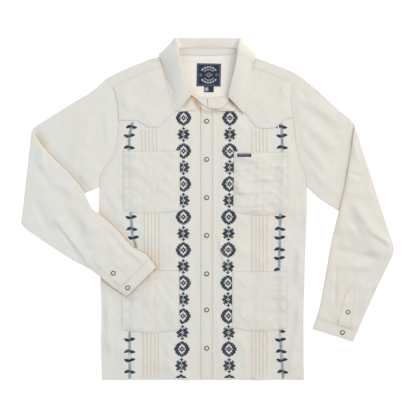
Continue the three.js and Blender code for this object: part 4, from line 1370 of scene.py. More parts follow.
class SHIRT_OT_back_yoke(bpy.types.Operator):
    """Make the back yoke: its flat inside, and the strips that wrap over the shoulders"""

    bl_idname = "shirt.back_yoke"
    bl_label = "Back yoke"

    def execute(self, context):
        meshes, shades, places = zip(self.inside(), *(self.wrap(side) for side in SIDES))
        vertices, faces = joined(meshes)
        # The inside that shows in the neck takes painted light, and the seam attribute carries painted shade.
        cloth_piece(
            "back_yoke", vertices, faces, "laid", ["back_cloth"],
            seam=np.concatenate([np.tile(shade, 2) for shade in shades]),
            grain=np.concatenate([np.tile(place, (2, 1)) for place in places]) * MM,
            lining=np.arange(len(vertices)) < len(meshes[0][0]),
        )
        return {"FINISHED"}

    def inside(self):
        """The flat part that shows in the neck: its mesh, its painted seam shade and its points."""
        outline = np.array([
            INNER_YOKE_TIPS["left"], *lowered(SHOULDERS["left"][::-1], 1.0)[1:], *BACK_NECK,
            *lowered(SHOULDERS["right"], 1.0)[:-1], INNER_YOKE_TIPS["right"], *ARMHOLES["right"][1:4],
            INNER_YOKE_SEAM["right"], INNER_YOKE_SEAM["left"], *ARMHOLES["left"][2:0:-1],
        ], float)[::-1]
        points, triangles = filled(outline, 4.5, (0.7, 1.6))
        top = BACK["top"] + neck_lift(points[:, 1]) + ripples("inner_yoke", points)
        mesh = shell(points, triangles, top, top - INNER_YOKE_THICKNESS)
        shade = painted_seam_shade("inner_yoke", distance_to(outline, points))
        return mesh, shade, np.column_stack([points, np.zeros(len(points))])

    def wrap(self, side):
        """The strip over one shoulder: its mesh, its painted seam shade and its points."""
        fold = on_curve(SHOULDERS[side], np.linspace(0.0, 1.0, 46))
        outer = SHOULDER_FOLD + WALL / 2
        angles = np.radians(np.linspace(-90, 90, 11))
        flat = np.linspace(outer, FORWARD_SEAM + GAP, 13)[1:]
        inset = np.concatenate([[YOKE_TURN_IN], outer - SHOULDER_FOLD * np.cos(angles), flat])
        rise = np.concatenate(
            [[0.0], SHOULDER_FOLD * (1 + np.sin(angles)), np.full(len(flat), 2 * SHOULDER_FOLD)]
        )
        stitched = edge_form("back_yoke", FORWARD_SEAM + GAP - inset) * (rise > WALL + SHOULDER_FOLD / 2)
        rows = []
        for distance, height in zip(inset, rise + stitched):
            line = lowered(fold, distance)
            rows.append(np.column_stack([line, WALL / 2 + height + neck_lift(line[:, 1]) + WRAP_RAISED]))
        grid = np.array(rows)
        shade = np.broadcast_to(painted_seam_shade("forward_seam", inset)[:, None], grid.shape[:2])
        return grid_shell(*offset_shell(grid, CLOTH)[:2]), shade.ravel(), grid.reshape(-1, 3)


class SHIRT_OT_fronts(bpy.types.Operator):
    """Make both fronts, with their pin tucks, hem and soft folds"""

    bl_idname = "shirt.fronts"
    bl_label = "Fronts"

    def execute(self, context):
        for side in SIDES:
            self.make(side)
        return {"FINISHED"}

    def make(self, side):
        def height(points):
            return front_surface(side, points) + tuck_shape(side, points)[0] + hem_rise(points)

        # Painted shade in the tucks' creases, along the hem's stitching and along the armhole, stronger
        # towards its top.
        def seam(points):
            armhole = distance_to(ARMHOLES[side], points, False)
            deep = smooth((points[:, 1] - ARMHOLE_PAINTED_SHADE["from_y"]) / ARMHOLE_PAINTED_SHADE["over"])
            deep = ARMHOLE_PAINTED_SHADE["low"] + (1 - ARMHOLE_PAINTED_SHADE["low"]) * deep
            return np.max([
                PAINTED_TUCK_SHADE["front"] * tuck_shape(side, points)[1],
                painted_seam_shade("hem", points[:, 1]),
                painted_seam_shade("armhole", armhole) * deep,
                painted_seam_shade("armhole_stitching", armhole),
            ], axis=0)

        panel("front_" + side, "front", height, ["back_cloth"], seam, columns=tuck_columns(side))


class SHIRT_OT_front_yokes(bpy.types.Operator):
    """Make the shaped yokes over the tops of the fronts"""

    bl_idname = "shirt.front_yokes"
    bl_label = "Front yokes"

    def execute(self, context):
        for side in SIDES:
            self.make(side)
        return {"FINISHED"}

    def make(self, side):
        def height(points):
            return front_surface(side, points) + OVERLAY + ripples("front_yoke", points)

        # Painted shade along the armhole.
        def seam(points):
            return painted_seam_shade("yoke_armhole", distance_to(ARMHOLES[side], points, False))

        panel("front_yoke_" + side, "front_yoke", height, [f"front_{side}_cloth"], seam, through=0.8)


class SHIRT_OT_pockets(bpy.types.Operator):
    """Make the four patch pockets"""

    bl_idname = "shirt.pockets"
    bl_label = "Pockets"

    def execute(self, context):
        for level in ("upper", "lower"):
            for side in SIDES:
                self.make(f"pocket_{level}_{side}", side)
        return {"FINISHED"}

    def make(self, node, side):
        mouth = box_of(node)[1][1]
        outline = plan_of(node)

        def height(points):
            distance = distance_to(outline, points)
            from_mouth = mouth - points[:, 1]
            at_mouth = fading(from_mouth, POCKET["mouth"], POCKET["mouth_depth"])
            at_mouth *= smooth(distance / POCKET["mouth_reach"])
            slack = POCKET["slack"] * smooth(distance / POCKET["slack_reach"]) + at_mouth
            tucks = POCKET["tucks_felt"] * tuck_shape(side, points)[0]
            top = front_surface(side, points) + OVERLAY + tucks + slack
            if node == "pocket_upper_right":
                top += ripples("wrinkled_pocket", points) * smooth(distance / POCKET["wrinkle_reach"])
            top += ripples(node, points) * smooth(distance / POCKET["wave_reach"])
            return top - HEM["dip"] * bell(from_mouth, POCKET["hem"], 1.0)

        # Painted shade under the mouth's edge, along its hem and faintly in the tucks below.
        def seam(points):
            tucks = PAINTED_TUCK_SHADE["pocket"] * tuck_shape(side, points)[1]
            return np.maximum(painted_seam_shade("pocket_mouth", mouth - points[:, 1]), tucks)

        panel(
            node, "pocket", height, [f"front_{side}_cloth"], seam, thickness=0.5, step=3.6, through=1.0
        )


class SHIRT_OT_placket(bpy.types.Operator):
    """Make the snap placket down the middle"""

    bl_idname = "shirt.placket"
    bl_label = "Placket"

    def execute(self, context):
        def height(points):
            level = PLACKET["underside"] + PLACKET["doubled"]
            return level + hem_rise(points) + ripples("placket", points)

        # Painted shade along the sewn edge and under the free edge.
        def seam(points):
            sewn, free = PLACKET["right"] - points[:, 0], points[:, 0] - PLACKET["left"]
            return np.maximum(painted_seam_shade("placket_seam", sewn), painted_seam_shade("placket_edge", free))

        panel("placket", "placket", height, ["front_left_cloth"], seam, thickness=1.2, step=3.5)
        return {"FINISHED"}


# ---- Sleeves ----


def shares_across(width, half, inset):
    """Shares of a flattened tube's width, close at its edges, and how full it is there."""
    near = (inset + EDGE_INSETS * half[:, None]) / width[:, None]
    last = near[:, -1:]
    middle = last + (1 - 2 * last) * np.linspace(0, 1, MIDDLE_STEPS + 2)[1:-1]
    full = (1 - (1 - EDGE_INSETS / 2) ** 3) ** 0.5
    shares = np.concatenate([near, middle, 1 - near[:, ::-1]], axis=1)
    return shares, np.concatenate([full, np.ones(MIDDLE_STEPS), full[::-1]])


def body_outline(side):
    middle = [(0.0, 380.0), (0.0, HEM["y"])]
    shoulder = SHOULDERS[side][::-1][1:]
    return np.array([*SIDE_SEAMS[side][:-1], *ARMHOLES[side][::-1], *shoulder, *middle], float)


def forearm_rest(side, points):
    """Height of a forearm's underside: over the cloth below it, or down on the surface."""
    lines = (SLEEVE_EDGES[side]["top"], SLEEVE_EDGES[side]["under"], ARMHOLES[side])
    top, under, armhole = (on_curve(line, np.linspace(0, 1, 9)) for line in lines)
    upper = np.concatenate([top, under[::-1], armhole[::-1]])
    away = np.minimum(distance_outside(upper, points), distance_outside(body_outline(side), points))
    start, end = FOREARM_FALL
    return FOREARM_REST * (1 - smooth((away - start) / (end - start)))


def between(a, b, shares):
    return a[:, None, :] + (b - a)[:, None, :] * shares[:, :, None]


def two_sides(plan, z, half, full, rise):
    """Upper and lower side of a flattened tube whose middle has this plan and height."""
    middle = np.dstack([plan, np.broadcast_to(z, plan.shape[:2])])
    offset = (half[:, None] * full)[:, :, None] * UP
    return middle + offset + rise[:, :, None] * UP, middle - offset


def upper_stations(side, inset, u):
    """Front and back of the upper sleeve's skin, from the armhole to the elbow."""
    edges = SLEEVE_EDGES[side]
    a, b = on_curve(edges["top"], u), on_curve(edges["under"], u)
    fade = (1 - u) ** ARMHOLE_FADE["flatness"]
    level = SLEEVE["half"] + (SLEEVE["half_at_armhole"] - SLEEVE["half"]) * fade
    tucked = np.where(np.arange(len(u)) == 0, UNDER_BODY, 0.0)
    half = np.maximum(level - tucked - inset, THINNEST)
    shares, full = shares_across(np.linalg.norm(b - a, axis=1), half, inset)
    top, under = np.array(edges["top"][0]), np.array(edges["under"][0])
    straight = top + (under - top) * shares[:, :, None]
    bend = on_curve(ARMHOLES[side], shares.ravel()).reshape(straight.shape) - straight
    plan = between(a, b, shares) + bend * ((1 - u) ** ARMHOLE_FADE["bend"])[:, None, None]
    plan[0, :, 0] += INWARD[side] * TUCKED_IN
    rise = over(plan, ripples, "upper_sleeve")
    rise *= smooth(u / SLEEVE_CALM["armhole"])[:, None]
    rise += over(plan, fold_height, "upper_" + side)
    rise *= smooth((1 - u) / SLEEVE_CALM["before_elbow"])[:, None] * full
    rise *= over(plan, clear_of_forearm, side)
    return two_sides(plan, level[:, None], half, full, rise)


def turn_stations(side, inset, degrees):
    """The fold at the elbow, where the sleeve turns up and over."""
    edges = SLEEVE_EDGES[side]
    fold_a = np.array([edges["top"][-1], edges["forearm_top"][0]])
    fold_b = np.array([edges["under"][-1], edges["forearm_under"][0]])
    t = ((degrees + 90) / 180)[:, None]
    a, b = (start + (end - start) * t for start, end in (fold_a, fold_b))
    half = np.full(len(degrees), SLEEVE["half"] - inset)
    shares, full = shares_across(np.linalg.norm(b - a, axis=1), half, inset)
    direction = (fold_b[0] - fold_a[0]) / np.linalg.norm(fold_b[0] - fold_a[0])
    outwards = np.array([direction[1], -direction[0], 0]) * -edges["outward"]
    angle = np.radians(degrees)[:, None]
    spoke = np.cos(angle) * outwards + np.sin(angle) * UP
    radius = SLEEVE["fold_radius"]
    level = np.full(shares.shape, SLEEVE["half"] + radius)
    middle = np.dstack([between(a, b, shares), level]) + spoke[:, None, :] * radius
    offset = (half[:, None] * full)[:, :, None] * -spoke[:, None, :]
    return middle + offset, middle - offset


def forearm_edges(side, u, cuff):
    """Points on both edges of a forearm, or of its cuff, at shares of its length."""
    edges = []
    for key in ("forearm_top", "forearm_under"):
        fine = refined(SLEEVE_EDGES[side][key], 24)
        sewn = run_along(fine)[-1] - CUFF["width"]
        edges.append(on_line(fine, sewn + u * CUFF["width"] if cuff else u * (sewn + TUCKED_IN)))
    return edges


def forearm_stations(side, inset, u, cuff):
    """Front, which is below, and back of a forearm's skin, or of its cuff's."""
    edges = SLEEVE_EDGES[side]
    a, b = forearm_edges(side, u, cuff)
    width = np.linalg.norm(b - a, axis=1)
    half_of = CUFF["half"] if cuff else SLEEVE["half"]
    half = np.full(len(u), half_of - inset)
    if not cuff:
        half -= CUFF["thins"] * smooth((u - CUFF["from"]) / CUFF["over"])
    half = np.maximum(half, THINNEST)
    shares, full = shares_across(width, half, inset)
    plan = between(a, b, shares)
    flat = plan.reshape(-1, 2)
    fold = np.array([edges["top"][-1], edges["under"][-1]])
    direction = (fold[1] - fold[0]) / np.linalg.norm(fold[1] - fold[0])
    away = flat - np.array(edges["forearm_top"][0])
    settled = smooth(np.abs(away[:, 0] * direction[1] - away[:, 1] * direction[0]) / SLEEVE["settle"])
    from_edge = np.minimum(shares, 1 - shares) * width[:, None]
    droop = fading(from_edge.ravel(), SLEEVE["droop"], SLEEVE["droop_reach"])
    top = SLEEVE["half"] + 2 * SLEEVE["fold_radius"]
    z = top + (forearm_rest(side, flat) * (1 - droop) + half_of - top) * settled
    rise = over(plan, fold_height, "forearm_" + side)
    rise += over(plan, ripples, "forearm")
    calm = np.full(len(u), SLEEVE_CALM["cuff"])
    if not cuff:
        calm += (1 - calm) * smooth((1 - u) / SLEEVE_CALM["at_cuff"])
        calm *= smooth(u / SLEEVE_CALM["after_elbow"])
    rise *= full * calm[:, None]
    return two_sides(plan, z.reshape(shares.shape), half, full, rise)[::-1]


def tube_rings(front, back):
    """Rings round a flattened tube, from its two sides."""
    return np.concatenate([front, back[:, -2:0:-1]], axis=1)


def tube_piece(node, skins, seam, along, rests_on):
    """A hollow flattened tube of cloth, open at both ends."""
    outer, inner = (tube_rings(*skin) for skin in skins)
    grain = np.zeros(outer.shape)
    grain[:, :, 0] = np.linspace(0, 0.5, outer.shape[1])
    grain[:, :, 1] = along[:, None] * MM
    # seam holds the painted shade.
    cloth_piece(
        node, *grid_shell(outer, inner, around=True), "folded", rests_on,
        grain=grain.reshape(-1, 3), seam=seam.ravel(),
    )


class SHIRT_OT_sleeves(bpy.types.Operator):
    """Make the sleeves, folded once at the elbow, and their cuffs"""

    bl_idname = "shirt.sleeves"
    bl_label = "Sleeves and cuffs"

    def execute(self, context):
        for side in SIDES:
            self.sleeve(side)
            self.cuff(side)
        return {"FINISHED"}

    def sleeve(self, side):
        skins = []
        for inset in (0.0, CLOTH):
            parts = [
                upper_stations(side, inset, UPPER_U),
                turn_stations(side, inset, TURN_DEGREES),
                forearm_stations(side, inset, FOREARM_U, False),
            ]
            skins.append([np.concatenate(sides) for sides in zip(*parts)])
        rings = tube_rings(*skins[0])
        front = skins[0][0]
        along = run_along(front[:, front.shape[1] // 2])
        # Painted shade: at the armhole and at the cuff, warm shade beside the forearm, along the felled seam,
        # and on the right along the forearm's folded edge.
        at_armhole = painted_seam_shade("sleeve_at_armhole", along - TUCKED_IN)
        at_cuff = painted_seam_shade("sleeve_at_cuff", along[-1] - along - TUCKED_IN)
        seam = np.broadcast_to((at_armhole + at_cuff)[:, None], rings.shape[:2]).copy()

        upper = slice(0, len(UPPER_U))
        beside = over(rings[upper], painted_hollow_shade, side)
        beside *= smooth((1 - UPPER_U) / SLEEVE_CALM["shade"])[:, None]
        seam[upper] = np.maximum(seam[upper], beside)

        forearm = slice(-len(FOREARM_U), None)
        folded = on_curve(SLEEVE_EDGES[side]["forearm_top"], np.linspace(0, 1, 40))
        inward = over(rings[forearm], lambda line, points: distance_to(line, points, False), folded)
        seam[forearm] = np.maximum(seam[forearm], painted_seam_shade("felled_seam", inward))
        if side == "right":  # this edge turns away from the light, and its shade is painted warm along it
            seam[forearm] = np.maximum(seam[forearm], painted_seam_shade("forearm_edge", inward))
        tube_piece("sleeve_" + side, skins, seam, along, ["shirt_floor", f"front_{side}_cloth"])

    def cuff(self, side):
        skins = [forearm_stations(side, inset, CUFF_U, True) for inset in (0.0, CUFF["wall"])]
        along = CUFF_U * CUFF["width"]
        shade = painted_seam_shade("cuff", np.minimum(along, along[-1] - along))
        seam = np.broadcast_to(shade[:, None], tube_rings(*skins[0]).shape[:2])
        tube_piece("cuff_" + side, skins, seam, along, ["shirt_floor", f"sleeve_{side}_cloth"])


class SHIRT_OT_sleeve_plackets(bpy.types.Operator):
    """Make the pointed plackets above the cuffs"""

    bl_idname = "shirt.sleeve_plackets"
    bl_label = "Sleeve plackets"

    def execute(self, context):
        for side in SIDES:
            self.make(side)
        return {"FINISHED"}

    def make(self, side):
        node = "sleeve_placket_" + side
        below = surface_under(f"sleeve_{side}_cloth")
        middle = plan_of(node).mean(0)

        def height(points):
            held = middle + (points - middle) * SLEEVE_PLACKET["held"]
            return below(held) + SLEEVE_PLACKET["above"]

        panel(
            node, "sleeve_placket", height, [f"sleeve_{side}_cloth"], step=3.0, hollows=0.0,
            thickness=SLEEVE_PLACKET["thickness"], turn=SLEEVE_PLACKET["turn"][side],
        )


# ---- Collar ----


def reaching(grid, distance):
    """A grid with its inner edge carried on by a distance, under the piece that it is sewn to."""
    step = grid[:, 0] - grid[:, 1]
    step *= distance / np.maximum(np.linalg.norm(step, axis=1), 1e-9)[:, None]
    return np.concatenate([(grid[:, 0] + step)[:, None], grid], axis=1)


def leaf_grid():
    """Middle of the collar leaf: rows along it, each from the stand over the crest to the outer edge."""
    rows = []
    for *places, crown in LEAF_SECTIONS:
        join, crest, edge = np.array(places, float).reshape(3, 3)
        fall = [crest + (edge - crest) * share + UP * crown for share in (0.3, 0.65)]
        if crown == 0:  # the leaf is folded flat here
            for point in fall:
                point[2] = crest[2] + (edge[2] - crest[2]) * 0.85
        rows.append([join, crest, *fall, edge])
    grid = reaching(refined(refined(rows, 7, axis=1), 8, axis=0), LEAF_TUCKED_IN)
    x, y = grid[:, :, 0], grid[:, :, 1]
    behind = smooth((NECK_CREASES["to_x"] - np.abs(x)) / NECK_CREASES["fade_x"])
    behind *= smooth((y - NECK_CREASES["from_y"]) / NECK_CREASES["fade_y"])
    grid[:, :, 2] += over(grid, ripples, "collar_leaf") * behind
    return grid


def stand_grid():
    """Middle of the collar stand: rows along it, each from its seam to its top edge."""
    rows = []
    for section in STAND_SECTIONS:
        seam, top = np.array(section, float).reshape(2, 3)
        rows.append([seam, (seam + top) / 2, top])
    return reaching(refined(refined(rows, 6, axis=1), 6, axis=0), STAND_TUCKED_IN)


def to_border(grid, sides):
    """Distance of each point of a grid from some of its four borders."""
    best = np.full(grid.shape[:2], np.inf)
    for border in sides:
        line = {"first": grid[0], "last": grid[-1], "inner": grid[:, 0], "outer": grid[:, -1]}[border]
        away = np.linalg.norm(grid[:, :, None, :] - line[None, None, :, :], axis=3).min(2)
        best = np.minimum(best, away)
    return best


class SHIRT_OT_collar(bpy.types.Operator):
    """Make the collar stand and the pointed collar leaf that turns over it"""

    bl_idname = "shirt.collar"
    bl_label = "Collar"

    def execute(self, context):
        leaf = leaf_grid()
        edge = to_border(leaf, ("first", "last", "outer"))
        leaf += edge_form("collar_leaf", edge)[:, :, None] * UP
        join = to_border(leaf, ("inner",))
        # Painted shade along the leaf's edges, its stitching and its join to the stand.
        shade = np.maximum(painted_seam_shade("collar_leaf", edge), painted_seam_shade("leaf_join", join))
        self.make("collar_leaf", leaf, edge, shade, ["collar_stand_cloth"])
        stand = stand_grid()
        edge = to_border(stand, ("inner", "outer"))
        self.make("collar_stand", stand, edge, painted_seam_shade("collar_stand", edge), ["back_yoke_cloth"])
        return {"FINISHED"}

    def make(self, node, grid, edge, shade, rests_on):
        thickness = COLLAR_THICKNESS * (0.55 + 0.45 * smooth(edge / 1.2))  # pressed thin at its edges
        grain = np.zeros(grid.shape)
        grain[:, :, 0] = run_along(grid[:, 0])[:, None] * MM
        grain[:, :, 1] = np.linspace(0, 0.06, grid.shape[1])
        cloth_piece(
            node, *grid_shell(*offset_shell(grid, thickness[:, :, None])[:2]), "folded", rests_on,
            grain=grain.reshape(-1, 3), seam=shade.ravel(),
        )


# ---- Sewing ----


class SHIRT_OT_topstitching(bpy.types.Operator):
    """Sew the rows of topstitching on yokes, pockets, placket, armholes, hem, collar and cuffs"""

    bl_idname = "shirt.topstitching"
    bl_label = "Topstitching"

    def execute(self, context):
        lines = []
        for side in SIDES:
            lines += self.front(side) + self.edges("front_yoke", "front_yoke_" + side)
            for node in ("pocket_upper_", "pocket_lower_"):
                lines += self.edges("pocket", node + side)
        sewing_piece("topstitching_body", lines + self.edges("placket", "placket"))

        lines = []
        for side in SIDES:
            lines += self.edges("sleeve_placket", "sleeve_placket_" + side)
            lines += plan_rows(self.cuff_outline(side), "cuff", surface_under(f"cuff_{side}_cloth"))
        sewing_piece("topstitching_cuffs", lines)

        leaf, stand = leaf_grid(), stand_grid()
        lines = [self.along_collar("collar_leaf", leaf), self.along_collar("collar_stand", stand)]
        for end, way in ((leaf, 1), (leaf[::-1], -1)):
            run = np.linalg.norm(end[:, 1] - end[0, 1], axis=1)
            row = int(np.argmin(np.abs(run - SEWN["collar_point"])))
            upper, _, normal = offset_shell(end, (COLLAR_THICKNESS + 0.1) * way)
            lines.append((upper[row, 9:-6], normal[row, 9:-6] * way))
        sewing_piece("topstitching_collar", lines)
        return {"FINISHED"}

    def front(self, side):
        """The side of the armhole below the yoke, and the hem."""
        surface = surface_under(f"front_{side}_cloth")
        lines = plan_rows(
            plan_of("front_" + side), "front", surface,
            keep=lambda points: (points[:, 1] < SEWN["below_yoke"])
            & (distance_to(ARMHOLES[side], points, False) < SEWN["from_armhole"]),
        )
        low, high = box_of("front_" + side)
        xs = np.arange(low[0] + 3, high[0] - 3, 3.0)
        hem = np.column_stack([xs, np.full(len(xs), HEM["y"] + HEM["depth"])])
        beside = xs < PLACKET["left"] - 1 if side == "left" else xs > PLACKET["right"] + 1
        return lines + stretches(hem, beside, surface, closed=False)

    def edges(self, kind, node):
        """A piece's edge where it is sewn down: a pocket's mouth and a yoke's inner end aren't."""
        mouth = box_of(node)[1][1]
        keep = {
            "pocket": lambda points: points[:, 1] < mouth - SEWN["from_mouth"],
            "front_yoke": lambda points: np.abs(points[:, 0]) > SEWN["from_middle"],
        }.get(kind)
        return plan_rows(plan_of(node), kind, surface_under(node + "_cloth"), keep)

    def cuff_outline(self, side):
        """The corners of a cuff in plan, anticlockwise."""
        top, under = forearm_edges(side, np.array([0.0, 1.0]), True)
        outline = np.array([top[0], under[0], under[1], top[1]])
        return outline if side == "left" else outline[::-1]

    def along_collar(self, kind, grid):
        """The row of stitching along a collar piece's outer edge, on its upper skin."""
        distance = STITCH_ROWS[kind][0]
        edge = to_border(grid, ("outer",))
        upper, _, normal = offset_shell(grid, COLLAR_THICKNESS + 0.1)
        columns = np.abs(edge - distance).argmin(1)
        rows = np.arange(len(grid))
        found = np.abs(edge[rows, columns] - distance) < 1.6
        rows, columns = rows[found], columns[found]
        return upper[rows, columns], normal[rows, columns]


# ---- Embroidery ----


def covers_of(side):
    """Outlines of the pieces of a side that hide the embroidery below them."""
    return [plan_of(node + side) for node in ("pocket_upper_", "pocket_lower_", "front_yoke_")]


def clear_of(covers, points):
    return ~np.any([inside(cover, points) for cover in covers], axis=0)


class SHIRT_OT_bands(bpy.types.Operator):
    """Work the two cross-stitched bands beside the placket"""

    bl_idname = "shirt.bands"
    bl_label = "Cross-stitched bands"

    def execute(self, context):
        for side in SIDES:
            self.work(side, context.scene.shirt_thread.stitch / MM)
        return {"FINISHED"}

    def work(self, side, size):
        """Two slanting strands in each cell of the chart, the second over the first, none quite alike."""
        cells = band_cells(side)
        cells = cells[clear_of([*covers_of(side), plan_of("collar_leaf")], cells)]
        base = laid(cells, surface_under(f"front_{side}_cloth")) + UP * 0.02
        rng = np.random.default_rng(41)
        parts = []
        for order, slant in enumerate((1, -1)):
            reach = np.array([CROSS["half"], CROSS["half"] * slant, 0.0]) * size
            wobble = rng.normal(0, CROSS["wobble"] * size, (2, len(cells), 3)) * np.array([1, 1, 0])
            start, end = base + wobble + UP * CROSS["lift"] * order + np.array([-reach, reach])[:, None]
            parts.append(strand_mesh(start, end, UP, CROSS["width"] * size, STITCH_DEPTH))
        new_piece(f"embroidered_band_{side}", *joined(parts), "navy_cotton_floss")


class SHIRT_OT_strips(bpy.types.Operator):
    """Work the narrow leafy strips outside the tucks"""

    bl_idname = "shirt.strips"
    bl_label = "Leafy strips"

    def execute(self, context):
        for side in SIDES:
            surface = surface_under(f"front_{side}_cloth")
            covers = [*covers_of(side), forearm_cover(side)]
            self.stem(side, surface, covers)
            self.leaves(side, surface, covers)
        return {"FINISHED"}

    def stem(self, side, surface, covers):
        """Slanting satin stitches, close together."""
        ys = np.arange(STRIPS[side][0][0], HEM["y"] + 3, -STEM["spacing"])
        middle = np.column_stack([middle_of(STRIPS[side], ys), ys])
        rng = np.random.default_rng(7)
        half = np.array([STEM["width"] / 2, STEM["slant"]]) * rng.uniform(0.8, 1.1, (len(ys), 1))
        starts, ends = middle - half, middle + half
        shown = clear_of(covers, starts) & clear_of(covers, ends)
        parts = strand_mesh(
            laid(starts[shown], surface), laid(ends[shown], surface), UP, STEM["thread"], STEM["depth"]
        )
        new_piece(f"embroidered_stem_{side}", *parts, "grey_cotton_floss")

    def leaves(self, side, surface, covers):
        """Each leaf is a fan of satin stitches across its length. One mostly under a pocket isn't shown."""
        starts, ends = [], []
        shares = np.linspace(0.02, 1.0, LEAF["stitches"])
        width = LEAF["width"] / 2 * np.sin(np.pi * (0.12 + 0.84 * shares)) ** 0.6
        for root, tip in leaf_axes(side):
            along = (tip - root) / np.linalg.norm(tip - root)
            across = np.array([-along[1], along[0]])
            bend = np.sin(shares * np.pi) * LEAF["bend"] * np.sign(along[1])
            middle = root + along * (shares * LEAF["length"])[:, None] + across * bend[:, None]
            lean = across * width[:, None] + along * LEAF["slant"]
            shown = clear_of(covers, middle - lean) & clear_of(covers, middle + lean)
            if shown.mean() > 0.5:
                starts.append((middle - lean)[shown])
                ends.append((middle + lean)[shown])
        starts, ends = (laid(np.concatenate(rows), surface) for rows in (starts, ends))
        parts = strand_mesh(starts, ends, UP, LEAF["thread"], LEAF["depth"])
        new_piece(f"embroidered_leaves_{side}", *parts, "navy_cotton_floss")


# ---- Labels ----


def ribbon(line, width, z):
    """A raised woven line of even width, along points in plan."""
    normal = normals_of(line, False)
    skins = []
    for height in (z + FIGURE["above"], z - FIGURE["below"]):
        level = np.full(len(line), height)
        sides = [np.column_stack([line + normal * width / 2 * way, level]) for way in (-1, 1)]
        skins.append(np.stack(sides, axis=1))
    return grid_shell(*skins)


class SHIRT_OT_labels(bpy.types.Operator):
    """Make the neck label, the size tab and the pocket tab, with plain woven figures"""

    bl_idname = "shirt.labels"
    bl_label = "Labels"

    def execute(self, context):
        self.make("neck_label", "back_yoke_cloth")
        self.make("size_tab", "back_yoke_cloth")
        self.make("pocket_tab", "pocket_upper_right_cloth", surface_under("pocket_upper_right_cloth"))
        self.figures()
        return {"FINISHED"}

    def make(self, node, rests_on, below=None):
        def height(points):
            return below(points) + LABEL_ABOVE if below else LABEL_TOP + ripples("label", points)

        panel(
            node, node, height, [rests_on], thickness=0.45, step=3.0, rings=(0.6, 1.4),
            material="label_damask_satin",
        )

    def figures(self):
        """Borders, lozenges and swags in light thread, in place of words."""
        neck, size, tab = (centre_of(node) for node in ("neck_label", "size_tab", "pocket_tab"))
        z = LABEL_TOP + FIGURE["lift"]
        tab_z = surface_under("pocket_tab_cloth")(tab[None])[0] + FIGURE["lift"]
        parts = [ribbon(size + np.array(SIZE_BLOCK["line"]), SIZE_BLOCK["width"], z)]
        for centre, height, figures in ((neck, z, NECK_FIGURES), (tab, tab_z, TAB_FIGURES)):
            for line, half, width, places in figures:
                parts += [ribbon(centre + (x, 0) + np.array(line) * half, width, height) for x in places]
        for radius, width, spread, block in SWAGS:
            angles = np.linspace(np.pi / 2 - spread, np.pi / 2 + spread, 25)
            for way in (1, -1):
                arc = np.column_stack([np.cos(angles) * radius * 1.1, way * np.sin(angles) * radius])
                parts += [ribbon(neck + piece, width, z) for piece in np.split(arc, range(block, 24, block))]
        new_piece("label_figures", *joined(parts), "label_figure_thread")


# ---- Snaps ----


def turned(profile, centre):
    """A closed turned piece from radius and height pairs that start and end on its axis."""
    angles = np.linspace(0, 2 * np.pi, SNAP_SIDES, endpoint=False)
    circle = np.column_stack([np.cos(angles), np.sin(angles)])
    rings = [np.column_stack([circle * radius, np.full(SNAP_SIDES, z)]) for radius, z in profile[1:-1]]
    vertices = np.concatenate([[(0, 0, profile[0][1])], *rings, [(0, 0, profile[-1][1])]]) + centre
    top = 1 + (len(rings) - 1) * SNAP_SIDES
    faces = []
    for k in range(SNAP_SIDES):
        following = (k + 1) % SNAP_SIDES
        faces.append((0, 1 + following, 1 + k))
        for start in range(1, top, SNAP_SIDES):
            a, b = start + k, start + following
            faces.append((a, b, b + SNAP_SIDES, a + SNAP_SIDES))
        faces.append((top + k, top + following, len(vertices) - 1))
    return facing_out(vertices, faces)


class SHIRT_OT_snaps(bpy.types.Operator):
    """Make the pearl snaps of the placket and cuffs"""

    bl_idname = "shirt.snaps"
    bl_label = "Pearl snaps"

    def execute(self, context):
        for node in sorted(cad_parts):
            if node.startswith("snap_") and not node.endswith("_cap"):
                self.make(node)
        return {"FINISHED"}

    def make(self, node):
        """A rim rolled over a domed cap."""
        low, high = box_of(node)
        radius = (high[0] - low[0]) / 2
        centre = np.array([*centre_of(node), low[2]])
        half, (inset, well) = SNAP_RIM["half"], SNAP_RIM["well"]
        foot = [(radius - inward, z) for inward, z in SNAP_RIM["foot"]]
        bead = [
            (radius - half + half * math.cos(a), SNAP_RIM["middle"] + SNAP_RIM["rise"] * math.sin(a))
            for a in np.linspace(-0.3, np.pi, 9)
        ]
        rim = [(0, 0), *foot, *bead, (radius - inset, well), (0, well)]
        new_piece(node + "_rim", *turned(rim, centre), "satin_nickel_plate", node, sharp=50)
        cap, base = radius - SNAP_CAP["inset"], SNAP_CAP["base"]
        dome = [
            (cap * math.cos(a), SNAP_CAP["edge"] + SNAP_CAP["rise"] * math.sin(a))
            for a in np.linspace(0, 1.45, 8)
        ]
        pearl = [(0, base), (cap, base), *dome, (0, SNAP_CAP["edge"] + SNAP_CAP["rise"])]
        new_piece(node + "_pearl", *turned(pearl, centre), "acrylic_pearl_cap", node + "_cap", sharp=50)


# ---- Stage ----


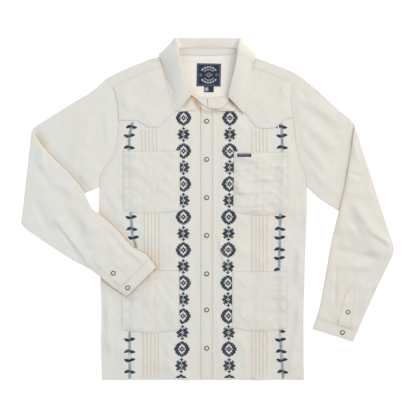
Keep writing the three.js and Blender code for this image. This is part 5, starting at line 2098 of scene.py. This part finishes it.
class SHIRT_OT_stage(bpy.types.Operator):
    """Set the floor, the soft lights and the camera that looks straight down"""

    bl_idname = "shirt.stage"
    bl_label = "Stage"

    def execute(self, context):
        scene, settings = context.scene, context.scene.shirt_stage
        mesh = bpy.data.meshes.new("shirt_floor")
        corners = [(x * FLOOR_HALF, y * FLOOR_HALF, 0) for x, y in ((-1, -1), (1, -1), (1, 1), (-1, 1))]
        mesh.from_pydata(corners, [], [(0, 1, 2, 3)])
        mesh.materials.append(material_named("white_matt_acrylic"))
        floor = bpy.data.objects.new("shirt_floor", mesh)
        scene.collection.objects.link(floor)

        world = bpy.data.worlds.new("soft_white_studio")
        world.use_nodes = True
        background = world.node_tree.nodes["Background"]
        background.inputs["Color"].default_value = (*linear("FFFFFF"), 1)
        background.inputs["Strength"].default_value = settings.ambient
        scene.world = world
        for name, (power, hex_colour, place, size) in LIGHTS.items():
            self.window(name, getattr(settings, power), hex_colour, place, size)

        data = bpy.data.cameras.new("camera")
        data.lens = settings.lens
        data.sensor_width = CAMERA["sensor"]
        camera = bpy.data.objects.new("camera", data)
        distance = settings.framed * settings.lens / data.sensor_width
        camera.location = (CAMERA["x"] * MM, CAMERA["y"] * MM, distance + CAMERA["focus"] * MM)
        scene.collection.objects.link(camera)
        scene.camera = camera
        scene.view_settings.view_transform = "Standard"
        return {"FINISHED"}

    def window(self, name, power, hex_colour, place, size):
        """A square soft light that faces the middle of the shirt."""
        data = bpy.data.lights.new(name, "AREA")
        data.energy = power
        data.size = size
        data.color = linear(hex_colour)
        light = bpy.data.objects.new(name, data)
        light.location = place
        light.rotation_euler = (-Vector(place)).to_track_quat("-Z", "Y").to_euler()
        bpy.context.scene.collection.objects.link(light)


OPERATORS = (  # in the order in which they run
    SHIRT_OT_stage, SHIRT_OT_back, SHIRT_OT_back_yoke, SHIRT_OT_fronts, SHIRT_OT_front_yokes,
    SHIRT_OT_pockets, SHIRT_OT_placket, SHIRT_OT_sleeves, SHIRT_OT_sleeve_plackets, SHIRT_OT_collar,
    SHIRT_OT_topstitching, SHIRT_OT_bands, SHIRT_OT_strips, SHIRT_OT_labels, SHIRT_OT_snaps,
)
GROUPS = {
    "shirt_cloth": ShirtCloth, "shirt_thread": ShirtThread,
    "shirt_snap": ShirtSnap, "shirt_stage": ShirtStage,
}


class SHIRT_PT_sidebar(bpy.types.Panel):
    bl_idname = "SHIRT_PT_sidebar"
    bl_label = "Guayabera shirt"
    bl_space_type = "VIEW_3D"
    bl_region_type = "UI"
    bl_category = "Shirt"

    def draw(self, context):
        for name, group in GROUPS.items():
            box = self.layout.box()
            for prop in group.__annotations__:
                box.prop(getattr(context.scene, name), prop)
        for operator in OPERATORS:
            self.layout.operator(operator.bl_idname)


CLASSES = (*GROUPS.values(), *OPERATORS, SHIRT_PT_sidebar)


def register():
    for cls in CLASSES:
        bpy.utils.register_class(cls)
    for name, group in GROUPS.items():
        setattr(bpy.types.Scene, name, bpy.props.PointerProperty(type=group))


def unregister():
    for name in GROUPS:
        delattr(bpy.types.Scene, name)
    for cls in reversed(CLASSES):
        bpy.utils.unregister_class(cls)


def main():
    register()
    for operator in OPERATORS:
        category, name = operator.bl_idname.split(".")
        getattr(getattr(bpy.ops, category), name)()


if __name__ == "__main__":
    main()
